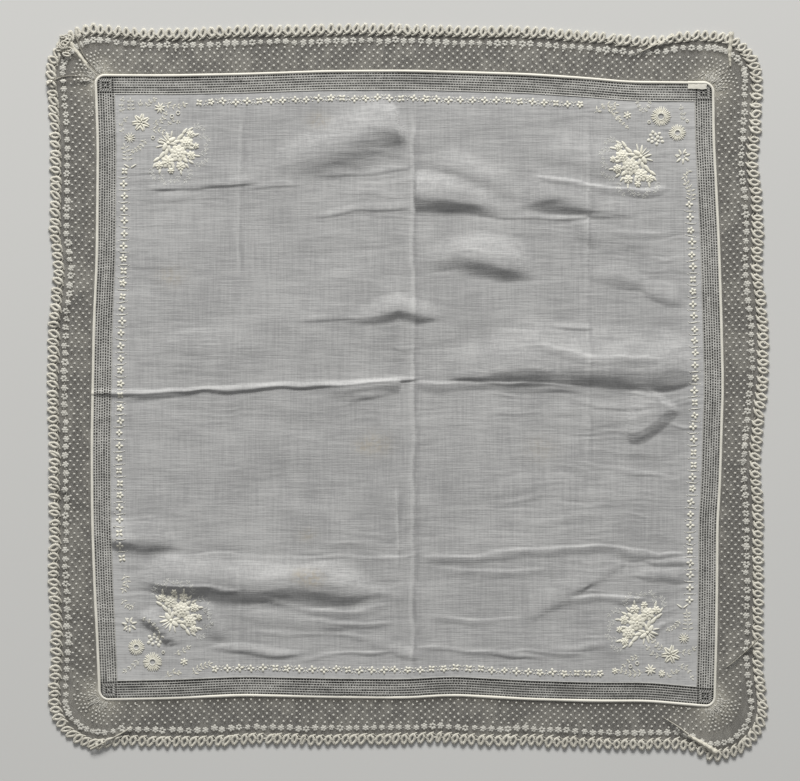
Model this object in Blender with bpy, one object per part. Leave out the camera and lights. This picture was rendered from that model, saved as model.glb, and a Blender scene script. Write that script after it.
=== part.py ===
"""Lace handkerchief lying on a flat surface, seen as it was laid out.

A sheer lawn square with drawn-thread work round its rim is joined by a whipped cord seam to a border of
spotted net, whose outer edge carries a narrow edging of looped thread. A blank tape is sewn over the seam
near one corner. +X runs to the right of the cloth, +Y up it and +Z away from the surface, whose height is 0.
The origin is the middle of the outline, on the surface. Sizes below are in millimetres.
"""

from collections import namedtuple

import bmesh
import bpy
import numpy as np

MM = 0.001

# The seam is a square with rounded corners, pulled a little out of true.
SEAM_HALF = 162.5
SEAM_CORNER = 4.7
CORD_RADIUS = 0.75
CORD_SIDES = 6
PIECE_GAP = 0.45
EASING = 7.0

# Thickness of the pieces as solids, and how far the edging lies from the seam.
SHEET = 1.0
EDGING_LOOPS = 328
SIDE_SHARE = 325.0 / 368.2
LOOP_LENGTH = 6.2
NOTCH_DEPTH = 2.7
LOOP_LEAN = 0.14
HEADING_GAP = 0.5

# The blank tape.
TAPE_CENTRE = (152.1, 161.4)
TAPE_SIZE = (9.9, 4.9)
TAPE_TURN_DEG = -1.0
TAPE_GAP = 0.3

# How far the seam lies from the middle of the cloth: along the side, then outwards.
Seam = namedtuple("Seam", "along out")
SEAM_TOP = (
    Seam(-158, 166.2), Seam(-124, 166.0), Seam(-87, 166.7), Seam(-39, 168.3), Seam(2, 168.5),
    Seam(34, 167.6), Seam(64, 166.7), Seam(96, 164.6), Seam(118, 162.6), Seam(158, 162.2),
)
SEAM_RIGHT = (
    Seam(-162, 161.1), Seam(-130, 162.0), Seam(-94, 162.5), Seam(-67, 162.6), Seam(-48, 163.9),
    Seam(-21, 164.7), Seam(6, 165.5), Seam(42, 164.6), Seam(79, 163.4), Seam(133, 160.7), Seam(160, 160.4),
)
SEAM_BOTTOM = (
    Seam(-160, 161.4), Seam(-124, 160.7), Seam(-87, 159.1), Seam(-39, 160.1), Seam(-2, 160.5),
    Seam(24, 159.0), Seam(64, 161.2), Seam(100, 162.2), Seam(127, 162.1), Seam(146, 163.8), Seam(160, 165.0),
)
SEAM_LEFT = (
    Seam(-160, 161.6), Seam(-130, 162.9), Seam(-103, 164.3), Seam(-67, 165.5), Seam(-30, 165.7),
    Seam(33, 164.6), Seam(69, 163.0), Seam(127, 162.5), Seam(164, 163.8),
)

# How far the loops' tips reach beyond the seam: along the side, then outwards. Corners join the sides' ends.
Reach = namedtuple("Reach", "along out")
REACH_TOP = (
    Reach(-165, 27.8), Reach(-150, 26.0), Reach(-135, 24.8), Reach(-105, 25.0), Reach(-84, 26.1),
    Reach(-56, 24.9), Reach(-28, 25.3), Reach(4, 24.7), Reach(43, 24.9), Reach(61, 25.7), Reach(88, 25.2),
    Reach(118, 25.1), Reach(129, 23.9), Reach(140, 26.0), Reach(150, 27.8), Reach(165, 27.5),
)
REACH_RIGHT = (
    Reach(-165, 28.8), Reach(-155, 27.2), Reach(-140, 25.0), Reach(-110, 25.2), Reach(-81, 24.4),
    Reach(-62, 24.6), Reach(-42, 21.2), Reach(-20, 22.1), Reach(-3, 23.0), Reach(6, 24.6), Reach(40, 25.1),
    Reach(56, 23.3), Reach(70, 22.4), Reach(80, 24.2), Reach(110, 24.2), Reach(122, 21.8), Reach(134, 24.9),
    Reach(165, 26.4),
)
REACH_BOTTOM = (
    Reach(-165, 27.5), Reach(-156, 24.6), Reach(-142, 25.4), Reach(-101, 26.8), Reach(-75, 25.7),
    Reach(-50, 26.2), Reach(-20, 25.0), Reach(0, 25.3), Reach(14, 24.8), Reach(38, 26.5), Reach(64, 24.8),
    Reach(108, 25.7), Reach(127, 26.2), Reach(148, 23.6), Reach(165, 30.6),
)
REACH_LEFT = (
    Reach(-165, 27.4), Reach(-144, 25.4), Reach(-127, 24.2), Reach(-94, 24.8), Reach(-79, 22.9),
    Reach(-44, 23.3), Reach(-34, 22.6), Reach(-3, 24.4), Reach(33, 24.4), Reach(56, 22.7), Reach(67, 22.8),
    Reach(75, 25.2), Reach(124, 25.2), Reach(152, 25.7), Reach(165, 26.8),
)

# Folds that stand up from the surface: crest line, height, width to the left and to the right of the line,
# and how far the crest takes to rise at each end.
Fold = namedtuple("Fold", "name crest height left right fade")
FOLDS = (
    Fold("middle ridge", ((-172, -1), (-133, 0), (-72, 2), (-43, 3), (-5, 7), (10, 9)), 2.3, 8, 6, 16),
    Fold("middle hill", ((12, 11), (64, 15), (101, 16), (150, 17)), 2.4, 16, 11, 18),
    Fold("middle lip", ((8, 2), (66, 2), (96, 1), (148, -2)), 1.3, 4, 10, 12),
    Fold("upright crease", ((2, -150), (3, -60), (3, 60), (2, 152)), 0.8, 5, 6, 20),
    Fold("upper left crease", ((-146, 106), (-120, 109), (-96, 111), (-70, 114)), 1.3, 8, 5, 14),
    Fold("upper hill", ((-62, 117), (-38, 120), (-20, 130), (-4, 140)), 1.9, 10, 8, 14),
    Fold("upper middle fold", ((0, 103), (28, 103), (62, 97), (106, 93)), 1.6, 11, 7, 14),
    Fold("upper right fold", ((72, 110), (105, 104), (134, 104)), 1.3, 6, 11, 14),
    Fold("heart fold", ((-28, 36), (-6, 41), (6, 43), (16, 39)), 1.7, 9, 6, 10),
    Fold("right hollow rim", ((28, 68), (62, 66)), 1.3, 12, 7, 12),
    Fold("lower left fold", ((-136, -98), (-104, -101), (-66, -101), (-28, -99), (20, -97)), 1.8, 11, 9, 16),
    Fold("lower right fold", ((64, -84), (102, -84), (146, -88)), 1.2, 6, 11, 14),
    Fold("lower right slant", ((62, -121), (82, -108), (110, -90)), 1.0, 6, 6, 12),
    Fold("short slant", ((118, -28), (130, -18), (145, -8)), 1.2, 5, 7, 8),
    Fold("upper left corner pleat", ((-166, 168), (-174, 177), (-183, 188)), 2.4, 5, 5, 6),
    Fold("upper left tuck", ((-164, 165), (-178, 164), (-192, 162)), 1.6, 4, 5, 6),
    Fold("upper right slant", ((114, 176), (128, 181), (144, 188)), 1.3, 5, 5, 6),
    Fold("upper right pleat", ((170, 170), (170, 180), (170, 192)), 2.0, 4, 4, 5),
    Fold("right slant", ((163, 118), (174, 129), (185, 138)), 1.5, 5, 5, 6),
    Fold("lower right pleat", ((166, -142), (176, -134), (186, -127)), 1.4, 5, 5, 6),
    Fold("lower corner pleat", ((138, -170), (148, -180), (162, -190)), 2.0, 5, 5, 6),
    Fold("lower left pleat", ((-141, -175), (-152, -181), (-168, -188)), 1.6, 5, 5, 6),
    Fold("left wave", ((-166, 60), (-178, 46), (-190, 30)), 1.0, 8, 8, 8),
    Fold("left lower wave", ((-168, -62), (-180, -50), (-190, -36)), 1.0, 8, 8, 8),
    Fold("right wave", ((168, -42), (176, -30), (186, -22)), 1.2, 8, 8, 8),
)
LYING_FLAT_BELOW = 0.12
CORD_FLAT = np.cos(np.pi / CORD_SIDES)

# Lines of the lawn's mesh, closest where the cloth is creased and at the rounded corners.
RIM_STEPS = (0.0, 1.5, 3.0, SEAM_CORNER, 12.0)
LAWN_X = (
    -141, -131, -121, -111, -101, -91, -81, -72, -63, -54, -45, -37, -29, -21, -14, -8, -3, 0, 2.5, 5, 9, 15,
    22, 30, 39, 48, 57, 66, 75, 84, 93, 102, 111, 121, 131, 141,
)
LAWN_Y = (
    -140, -128, -117, -110, -105, -101, -97, -92, -86, -80, -73, -62, -50, -38, -28, -19, -11, -6, -3, 0, 2.5,
    5, 8, 11, 15, 19, 25, 32, 37, 41, 46, 54, 62, 68, 76, 86, 94, 99, 104, 108, 112, 117, 123, 131, 140,
)
LOOPS_BETWEEN_SPOKES = 2
CORNER_CORD_STEP = 2
NET_ROWS = (0.0, 0.3, 0.65, 1.0)


def read_table(table, along):
    """The table's out value at each place along a side, eased by averaging over a short stretch."""
    places = [row.along for row in table]
    outs = [row.out for row in table]
    shifts = np.linspace(-EASING, EASING, 5)
    return sum(np.interp(along + shift, places, outs) for shift in shifts) / len(shifts)


def place(x, y):
    """Takes points of the true square to where the cloth lies: each side's points move to its own seam."""
    across = (x + SEAM_HALF) / (2 * SEAM_HALF)
    up = (y + SEAM_HALF) / (2 * SEAM_HALF)
    left, right = -read_table(SEAM_LEFT, y), read_table(SEAM_RIGHT, y)
    bottom, top = -read_table(SEAM_BOTTOM, x), read_table(SEAM_TOP, x)
    return left + (right - left) * across, bottom + (top - bottom) * up


def round_corners(x, y, half, radius):
    """Rounds a square's corners: inside each corner block a square maps to a quarter of a disc."""
    p = np.clip((np.abs(x) - (half - radius)) / radius, 0, 1)
    q = np.clip((np.abs(y) - (half - radius)) / radius, 0, 1)
    inner = half - radius
    rounded_x = np.where(p > 0, np.sign(x) * (inner + radius * p * np.sqrt(1 - q * q / 2)), x)
    rounded_y = np.where(q > 0, np.sign(y) * (inner + radius * q * np.sqrt(1 - p * p / 2)), y)
    return rounded_x, rounded_y


def turn_quarters(x, y, quarter):
    """Turns points clockwise by a whole number of right angles each."""
    quarter = quarter % 4
    turned_x = np.select([quarter == 0, quarter == 1, quarter == 2], [x, y, -x], -y)
    turned_y = np.select([quarter == 0, quarter == 1, quarter == 2], [y, -x, -y], x)
    return turned_x, turned_y


def reach_at(quarter, along):
    """How far the edging reaches beyond the seam. Along runs clockwise, as the sides follow each other."""
    tables = (REACH_TOP, REACH_RIGHT, REACH_BOTTOM, REACH_LEFT)
    signs = (1, -1, -1, 1)
    found = np.zeros_like(along)
    for number, (table, sign) in enumerate(zip(tables, signs)):
        ends = sign * along
        found = np.where(quarter % 4 == number, read_table(table, ends), found)
    return found


def spoke(station):
    """Where each spoke of the border leaves the seam, and its outward vector to the loops' tips.

    Stations count loops clockwise from the upper left corner. A quarter is one side and the corner after
    it. Along a side the spokes stand square to the seam, and at the corner they fan out.
    """
    per_quarter = EDGING_LOOPS / 4
    quarter = np.floor(station / per_quarter).astype(int)
    share = station / per_quarter - quarter
    on_side = share < SIDE_SHARE
    along = np.where(on_side, (2 * share / SIDE_SHARE - 1) * SEAM_HALF, SEAM_HALF)
    angle = np.where(on_side, 0, (share - SIDE_SHARE) / (1 - SIDE_SHARE) * np.pi / 2)
    inner = SEAM_HALF - SEAM_CORNER
    seam_x = np.where(on_side, along * inner / SEAM_HALF, inner + SEAM_CORNER * np.sin(angle))
    seam_y = np.where(on_side, SEAM_HALF, inner + SEAM_CORNER * np.cos(angle))
    seam = place(*turn_quarters(seam_x, seam_y, quarter))
    edge = place(*turn_quarters(along, np.full_like(along, SEAM_HALF), quarter))
    before = reach_at(quarter, along)
    after = reach_at(quarter + 1, np.full_like(along, -SEAM_HALF))
    blend = angle / (np.pi / 2)
    reach = before + (after - before) * blend
    away = turn_quarters(reach * np.sin(angle), reach * np.cos(angle), quarter)
    tip = edge[0] + away[0], edge[1] + away[1]
    return seam, (tip[0] - seam[0], tip[1] - seam[1])


def on_border(station, share=None, outward=None, inward=None):
    """Points on the border: at a share of the spoke, or so many millimetres from its seam or from its tip."""
    seam, vector = spoke(station)
    length = np.hypot(*vector)
    if outward is not None:
        share = outward / length
    if inward is not None:
        share = 1 - inward / length
    return seam[0] + vector[0] * share, seam[1] + vector[1] * share


def fold_height(x, y, fold):
    """Height of one fold: a raised cosine across its crest line, which eases in along both ends."""
    crest = np.array(fold.crest, float)
    runs = np.diff(crest, axis=0)
    lengths = np.hypot(runs[:, 0], runs[:, 1])
    starts = np.concatenate([[0], np.cumsum(lengths)])
    nearest = np.full(np.shape(x), np.inf)
    side = np.zeros(np.shape(x))
    place_along = np.zeros(np.shape(x))
    for (start_x, start_y), (run_x, run_y), length, start in zip(crest, runs, lengths, starts):
        off_x, off_y = x - start_x, y - start_y
        share = np.clip((off_x * run_x + off_y * run_y) / length**2, 0, 1)
        distance = np.hypot(off_x - share * run_x, off_y - share * run_y)
        closer = distance < nearest
        nearest = np.where(closer, distance, nearest)
        side = np.where(closer, run_x * off_y - run_y * off_x, side)
        place_along = np.where(closer, start + share * length, place_along)
    width = np.where(side > 0, fold.left, fold.right)
    across = (1 + np.cos(np.pi * np.clip(nearest / width, 0, 1))) / 2
    ends = np.clip(np.minimum(place_along, starts[-1] - place_along) / fold.fade, 0, 1)
    return fold.height * across * ends * ends * (3 - 2 * ends)


def height(x, y):
    """Height of the cloth's underside: the folds together, and exactly 0 where it lies on the surface."""
    together = np.sqrt(sum(fold_height(x, y, fold) ** 2 for fold in FOLDS))
    return np.maximum(together - LYING_FLAT_BELOW, 0)


def finish_object(name, mesh, collection, colour, roughness):
    """Puts a mesh into the collection as an object with its own plain material."""
    piece = bpy.data.objects.new(name, mesh)
    collection.objects.link(piece)
    material = bpy.data.materials.new(name)
    material.use_nodes = True
    shader = material.node_tree.nodes["Principled BSDF"]
    shader.inputs["Base Color"].default_value = (*colour, 1)
    shader.inputs["Roughness"].default_value = roughness
    mesh.materials.append(material)
    return piece


def sheet(name, x, y, faces, collection, colour, thickness=SHEET, lift=None):
    """A sheet lying on its folds: the underside's faces, raised straight up by the thickness."""
    z = height(x, y) if lift is None else lift
    net = bmesh.new()
    vertices = [net.verts.new(point) for point in np.column_stack([x, y, z]) * MM]
    for face in faces:
        net.faces.new([vertices[corner] for corner in face])
    raised = bmesh.ops.extrude_face_region(net, geom=list(net.faces), use_keep_orig=True)
    top = [item for item in raised["geom"] if isinstance(item, bmesh.types.BMVert)]
    bmesh.ops.translate(net, verts=top, vec=(0, 0, thickness * MM))
    bmesh.ops.triangulate(net, faces=list(net.faces))
    bmesh.ops.recalc_face_normals(net, faces=list(net.faces))
    mesh = bpy.data.meshes.new(name)
    net.to_mesh(mesh)
    net.free()
    return finish_object(name, mesh, collection, colour, 0.85)


def grid_faces(rows, columns, closed=False):
    """Quads of a grid whose points are numbered row by row. A closed grid's rows are rings."""
    last = columns if closed else columns - 1
    return [
        (
            row * columns + column,
            row * columns + (column + 1) % columns,
            (row + 1) * columns + (column + 1) % columns,
            (row + 1) * columns + column,
        )
        for row in range(rows - 1)
        for column in range(last)
    ]


def lawn_panel(collection):
    """The sheer square inside the seam, with its drawn-thread rim as part of the same cloth."""
    half = SEAM_HALF
    rim = [half - step for step in RIM_STEPS]
    columns = np.array([-step for step in rim] + list(LAWN_X) + rim[::-1])
    rows = np.array([-step for step in rim] + list(LAWN_Y) + rim[::-1])
    grid_x, grid_y = (grid.ravel() for grid in np.meshgrid(columns, rows))
    x, y = place(*round_corners(grid_x, grid_y, half, SEAM_CORNER))
    shrink = 1 - (CORD_RADIUS + PIECE_GAP) / half
    faces = grid_faces(len(rows), len(columns))
    return sheet("lawn_panel", x * shrink, y * shrink, faces, collection, (0.37, 0.38, 0.38))


def border_stations():
    """Stations of the border's spokes: every loop round a corner and every second along a side."""
    per_quarter = EDGING_LOOPS // 4
    side_loops = int(per_quarter * SIDE_SHARE)
    along_side = np.arange(0, side_loops, LOOPS_BETWEEN_SPOKES)
    round_corner = np.arange(side_loops, per_quarter)
    one = np.concatenate([along_side, round_corner])
    return np.concatenate([one + quarter * per_quarter for quarter in range(4)]).astype(float)


def seam_cord(collection):
    """The whipped roll that joins lawn and net: a closed cord of six sides, one of them flat underneath."""
    stations = border_stations()
    at_corner = np.diff(np.append(stations, EDGING_LOOPS)) < LOOPS_BETWEEN_SPOKES
    stations = stations[~at_corner | (np.arange(len(stations)) % CORNER_CORD_STEP == 0)]
    x, y = on_border(stations, share=0.0)
    z = height(x, y) + CORD_RADIUS * CORD_FLAT
    curve = bpy.data.curves.new("seam_cord", "CURVE")
    curve.dimensions = "3D"
    curve.twist_mode = "Z_UP"
    curve.bevel_depth = CORD_RADIUS * MM
    curve.bevel_resolution = (CORD_SIDES - 4) // 2
    line = curve.splines.new("POLY")
    line.points.add(len(x) - 1)
    line.points.foreach_set("co", (np.column_stack([x, y, z, np.full_like(x, 1 / MM)]) * MM).ravel())
    line.use_cyclic_u = True
    return finish_object("seam_cord", curve, collection, (0.77, 0.74, 0.63), 0.6)


def net_border(collection):
    """The spotted net between the seam and the edging, gathered where it fans round the corners."""
    stations = border_stations()
    seam_x, seam_y = on_border(stations, outward=CORD_RADIUS + PIECE_GAP)
    edge_x, edge_y = on_border(stations, inward=LOOP_LENGTH + HEADING_GAP)
    share = np.array(NET_ROWS)[:, None]
    x = (seam_x + (edge_x - seam_x) * share).ravel()
    y = (seam_y + (edge_y - seam_y) * share).ravel()
    faces = grid_faces(len(NET_ROWS), len(stations), closed=True)
    return sheet("net_border", x, y, faces, collection, (0.15, 0.14, 0.125))


def loop_edging(collection):
    """The edging: one rounded tongue for each thread loop, leaning clockwise, on a straight heading."""
    loops = np.arange(EDGING_LOOPS, dtype=float)
    heading = on_border(loops, inward=LOOP_LENGTH)
    outline = (
        (0.0, NOTCH_DEPTH),
        (0.24 + LOOP_LEAN / 2, 0.9),
        (0.5 + LOOP_LEAN, 0.0),
        (0.80 + LOOP_LEAN / 2, 0.75),
    )
    rings = [heading] + [on_border(loops + turn, inward=depth) for turn, depth in outline]
    x = np.concatenate([ring[0] for ring in rings])
    y = np.concatenate([ring[1] for ring in rings])
    faces = []
    for loop in range(EDGING_LOOPS):
        after = (loop + 1) % EDGING_LOOPS
        notch, near, tip, far = (ring * EDGING_LOOPS + loop for ring in range(1, 5))
        faces.append((loop, after, after + EDGING_LOOPS, far, tip, near, notch))
    return sheet("loop_edging", x, y, faces, collection, (0.70, 0.68, 0.60))


def tape_tab(collection):
    """The blank tape, stitched flat over the seam cord."""
    half_x, half_y = TAPE_SIZE[0] / 2, TAPE_SIZE[1] / 2
    turn = np.radians(TAPE_TURN_DEG)
    corner_x = np.array([-half_x, half_x, half_x, -half_x])
    corner_y = np.array([-half_y, -half_y, half_y, half_y])
    x = TAPE_CENTRE[0] + corner_x * np.cos(turn) - corner_y * np.sin(turn)
    y = TAPE_CENTRE[1] + corner_x * np.sin(turn) + corner_y * np.cos(turn)
    lift = np.full(4, 2 * CORD_RADIUS * CORD_FLAT + TAPE_GAP)
    return sheet("tape_tab", x, y, [(0, 1, 2, 3)], collection, (0.80, 0.79, 0.75), lift=lift)


def clear_scene():
    for old in list(bpy.data.objects):
        bpy.data.objects.remove(old, do_unlink=True)


def main():
    clear_scene()
    collection = bpy.data.collections.new("lace_handkerchief")
    bpy.context.scene.collection.children.link(collection)
    lawn_panel(collection)
    seam_cord(collection)
    net_border(collection)
    loop_edging(collection)
    tape_tab(collection)


main()
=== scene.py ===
"""Looks of a lace handkerchief laid flat: sheer lawn, drawn-thread rim, embroidery, net and looped edging.

Lengths are in millimetres until make_piece turns them into metres. The plan functions and the tables of the
seam and of the edging's reach are those of the solids, so every piece lies where its solid does. The solids'
main folds are drawn finer here, and many small ones are added. Stations count the edging's loops clockwise
from the upper left corner.
"""
from collections import namedtuple

import bpy
import numpy as np
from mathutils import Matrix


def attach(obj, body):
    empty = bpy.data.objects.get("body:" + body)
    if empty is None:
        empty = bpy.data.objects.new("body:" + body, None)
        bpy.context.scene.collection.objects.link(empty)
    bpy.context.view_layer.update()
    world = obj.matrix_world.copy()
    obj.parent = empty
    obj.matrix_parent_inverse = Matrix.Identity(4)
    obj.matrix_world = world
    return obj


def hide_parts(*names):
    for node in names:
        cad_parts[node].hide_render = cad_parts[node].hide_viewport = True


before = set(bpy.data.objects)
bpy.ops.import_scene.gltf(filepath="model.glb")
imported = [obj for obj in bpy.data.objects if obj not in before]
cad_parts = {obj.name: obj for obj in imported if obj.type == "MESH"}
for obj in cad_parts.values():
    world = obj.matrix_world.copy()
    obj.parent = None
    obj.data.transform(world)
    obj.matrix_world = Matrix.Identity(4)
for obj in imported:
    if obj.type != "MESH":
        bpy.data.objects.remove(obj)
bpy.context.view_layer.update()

MM = 0.001

# The seam, as in the solid: a square with rounded corners, pulled a little out of true.
SEAM_HALF = 162.5
SEAM_CORNER = 4.7
CORD_RADIUS = 0.75
EASING = 7.0
EDGING_LOOPS = 328
LOOPS_A_QUARTER = EDGING_LOOPS // 4
LOOP_PITCH = 4.49
SIDE_SHARE = 325.0 / 368.2

# How finely the pieces are divided, all the way round where a piece is a ring.
LAWN_ROWS = 612
LAWN_COLUMNS = 105
RIM_EDGE_STEPS = 1300
SHADE_STEPS_A_SIDE = 160
ROLL_STEPS = 3600
NET_ROWS = 17
NET_COLUMNS = 1148
HEADING_STEPS = 1640
LOOP_STEPS = 32
PLEAT_STEPS = 40

# Bands of the lawn, measured inwards from the seam.
DRAWN_DEPTH = 9.5
DRAWN_ROWS = 7
DRAWN_COLUMNS = 218
FIRST_RAIL = 0.55
CHAIN_DEPTH = 14.2

# Bands of the border, measured outwards from the seam or inwards from the loops' tips.
DOT_ROWS = (2.3, 4.1, 5.9, 7.7, 9.5, 11.4, 13.3)
STAR_DEPTH = 9.3
NET_END = 4.3
GATHERS_A_CORNER = 60
LOOP_LENGTH = 6.2
HEADING_DEPTH = 5.3

# Threads: their radii, and how high a flattened one is for its width.
LOOP_RADIUS = 0.86
LOOP_FLATNESS = 0.6
LINK_RADII = (0.5, 0.45, 0.5)
BUNCH_RADIUS = 0.48
HEADING_RADIUS = 0.2
RIM_EDGE_RADIUS = 0.22
ROLL_FLATNESS = 0.76
WHIPPING_STITCHES = 1080

# Worked motifs of the net: their length, width and height.
SPOT = (1.45, 1.2, 0.22)
STAR_PETAL = (1.75, 1.5, 0.24)
STAR_DISC = (1.95, 1.95, 0.27)
STAR_BAR = (1.5, 0.35, 0.2)

# The flower chain: its pitch along the upper and lower sides and up the other two, and its flowers' radius.
CHAIN_PITCHES = (6.25, 6.45)
CHAIN_FLOWER = 2.1

# What the tape was cut to, in metres: its width and length. The tape is declared as cut from a square of
# about the least size that a sheet may have.
TAPE_CUT = (0.0033, 0.0099)
TAPE_PLACE = (152.1, 160.6)
TAPE_THICKNESS = 0.25

# How far above the surface the cloth lies where it has no fold.
LAWN_LIFT = 0.85
NET_LIFT_SEAM = 0.75
NET_LIFT_EDGE = 0.45

# Stitches stand on the cloth from a little under its height, and round off towards their edge.
STITCH_SUNK = 0.06
STITCH_SHOULDER = 0.92


def named(kind, *rows):
    """The rows of a table whose columns have names."""
    return tuple(kind(*row) for row in rows)


# Where the seam lies: how far out of the cloth's middle, at places along each side.
Seam = namedtuple("Seam", "along out")
SEAM_TOP = named(
    Seam,
    (-158, 166.2), (-124, 166.0), (-87, 166.7), (-39, 168.3), (2, 168.5), (34, 167.6), (64, 166.7),
    (96, 164.6), (118, 162.6), (158, 162.2),
)
SEAM_RIGHT = named(
    Seam,
    (-162, 161.1), (-130, 162.0), (-94, 162.5), (-67, 162.6), (-48, 163.9), (-21, 164.7), (6, 165.5),
    (42, 164.6), (79, 163.4), (133, 160.7), (160, 160.4),
)
SEAM_BOTTOM = named(
    Seam,
    (-160, 161.4), (-124, 160.7), (-87, 159.1), (-39, 160.1), (-2, 160.5), (24, 159.0), (64, 161.2),
    (100, 162.2), (127, 162.1), (146, 163.8), (160, 165.0),
)
SEAM_LEFT = named(
    Seam,
    (-160, 161.6), (-130, 162.9), (-103, 164.3), (-67, 165.5), (-30, 165.7), (33, 164.6), (69, 163.0),
    (127, 162.5), (164, 163.8),
)

# How far the tips of the edging reach beyond the seam, at places along each side.
Reach = namedtuple("Reach", "along out")
REACH_TOP = named(
    Reach,
    (-165, 27.8), (-150, 26.0), (-135, 24.8), (-105, 25.0), (-84, 26.1), (-56, 24.9), (-28, 25.3),
    (4, 24.7), (43, 24.9), (61, 25.7), (88, 25.2), (118, 25.1), (129, 23.9), (140, 26.0), (150, 27.8),
    (165, 27.5),
)
REACH_RIGHT = named(
    Reach,
    (-165, 28.8), (-155, 27.2), (-140, 25.0), (-110, 25.2), (-81, 24.4), (-62, 24.6), (-42, 21.2),
    (-20, 22.1), (-3, 23.0), (6, 24.6), (40, 25.1), (56, 23.3), (70, 22.4), (80, 24.2), (110, 24.2),
    (122, 21.8), (134, 24.9), (165, 26.4),
)
REACH_BOTTOM = named(
    Reach,
    (-165, 27.5), (-156, 24.6), (-142, 25.4), (-101, 26.8), (-75, 25.7), (-50, 26.2), (-20, 25.0),
    (0, 25.3), (14, 24.8), (38, 26.5), (64, 24.8), (108, 25.7), (127, 26.2), (148, 23.6), (165, 30.6),
)
REACH_LEFT = named(
    Reach,
    (-165, 27.4), (-144, 25.4), (-127, 24.2), (-94, 24.8), (-79, 22.9), (-44, 23.3), (-34, 22.6),
    (-3, 24.4), (33, 24.4), (56, 22.7), (67, 22.8), (75, 25.2), (124, 25.2), (152, 25.7), (165, 26.8),
)

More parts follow.
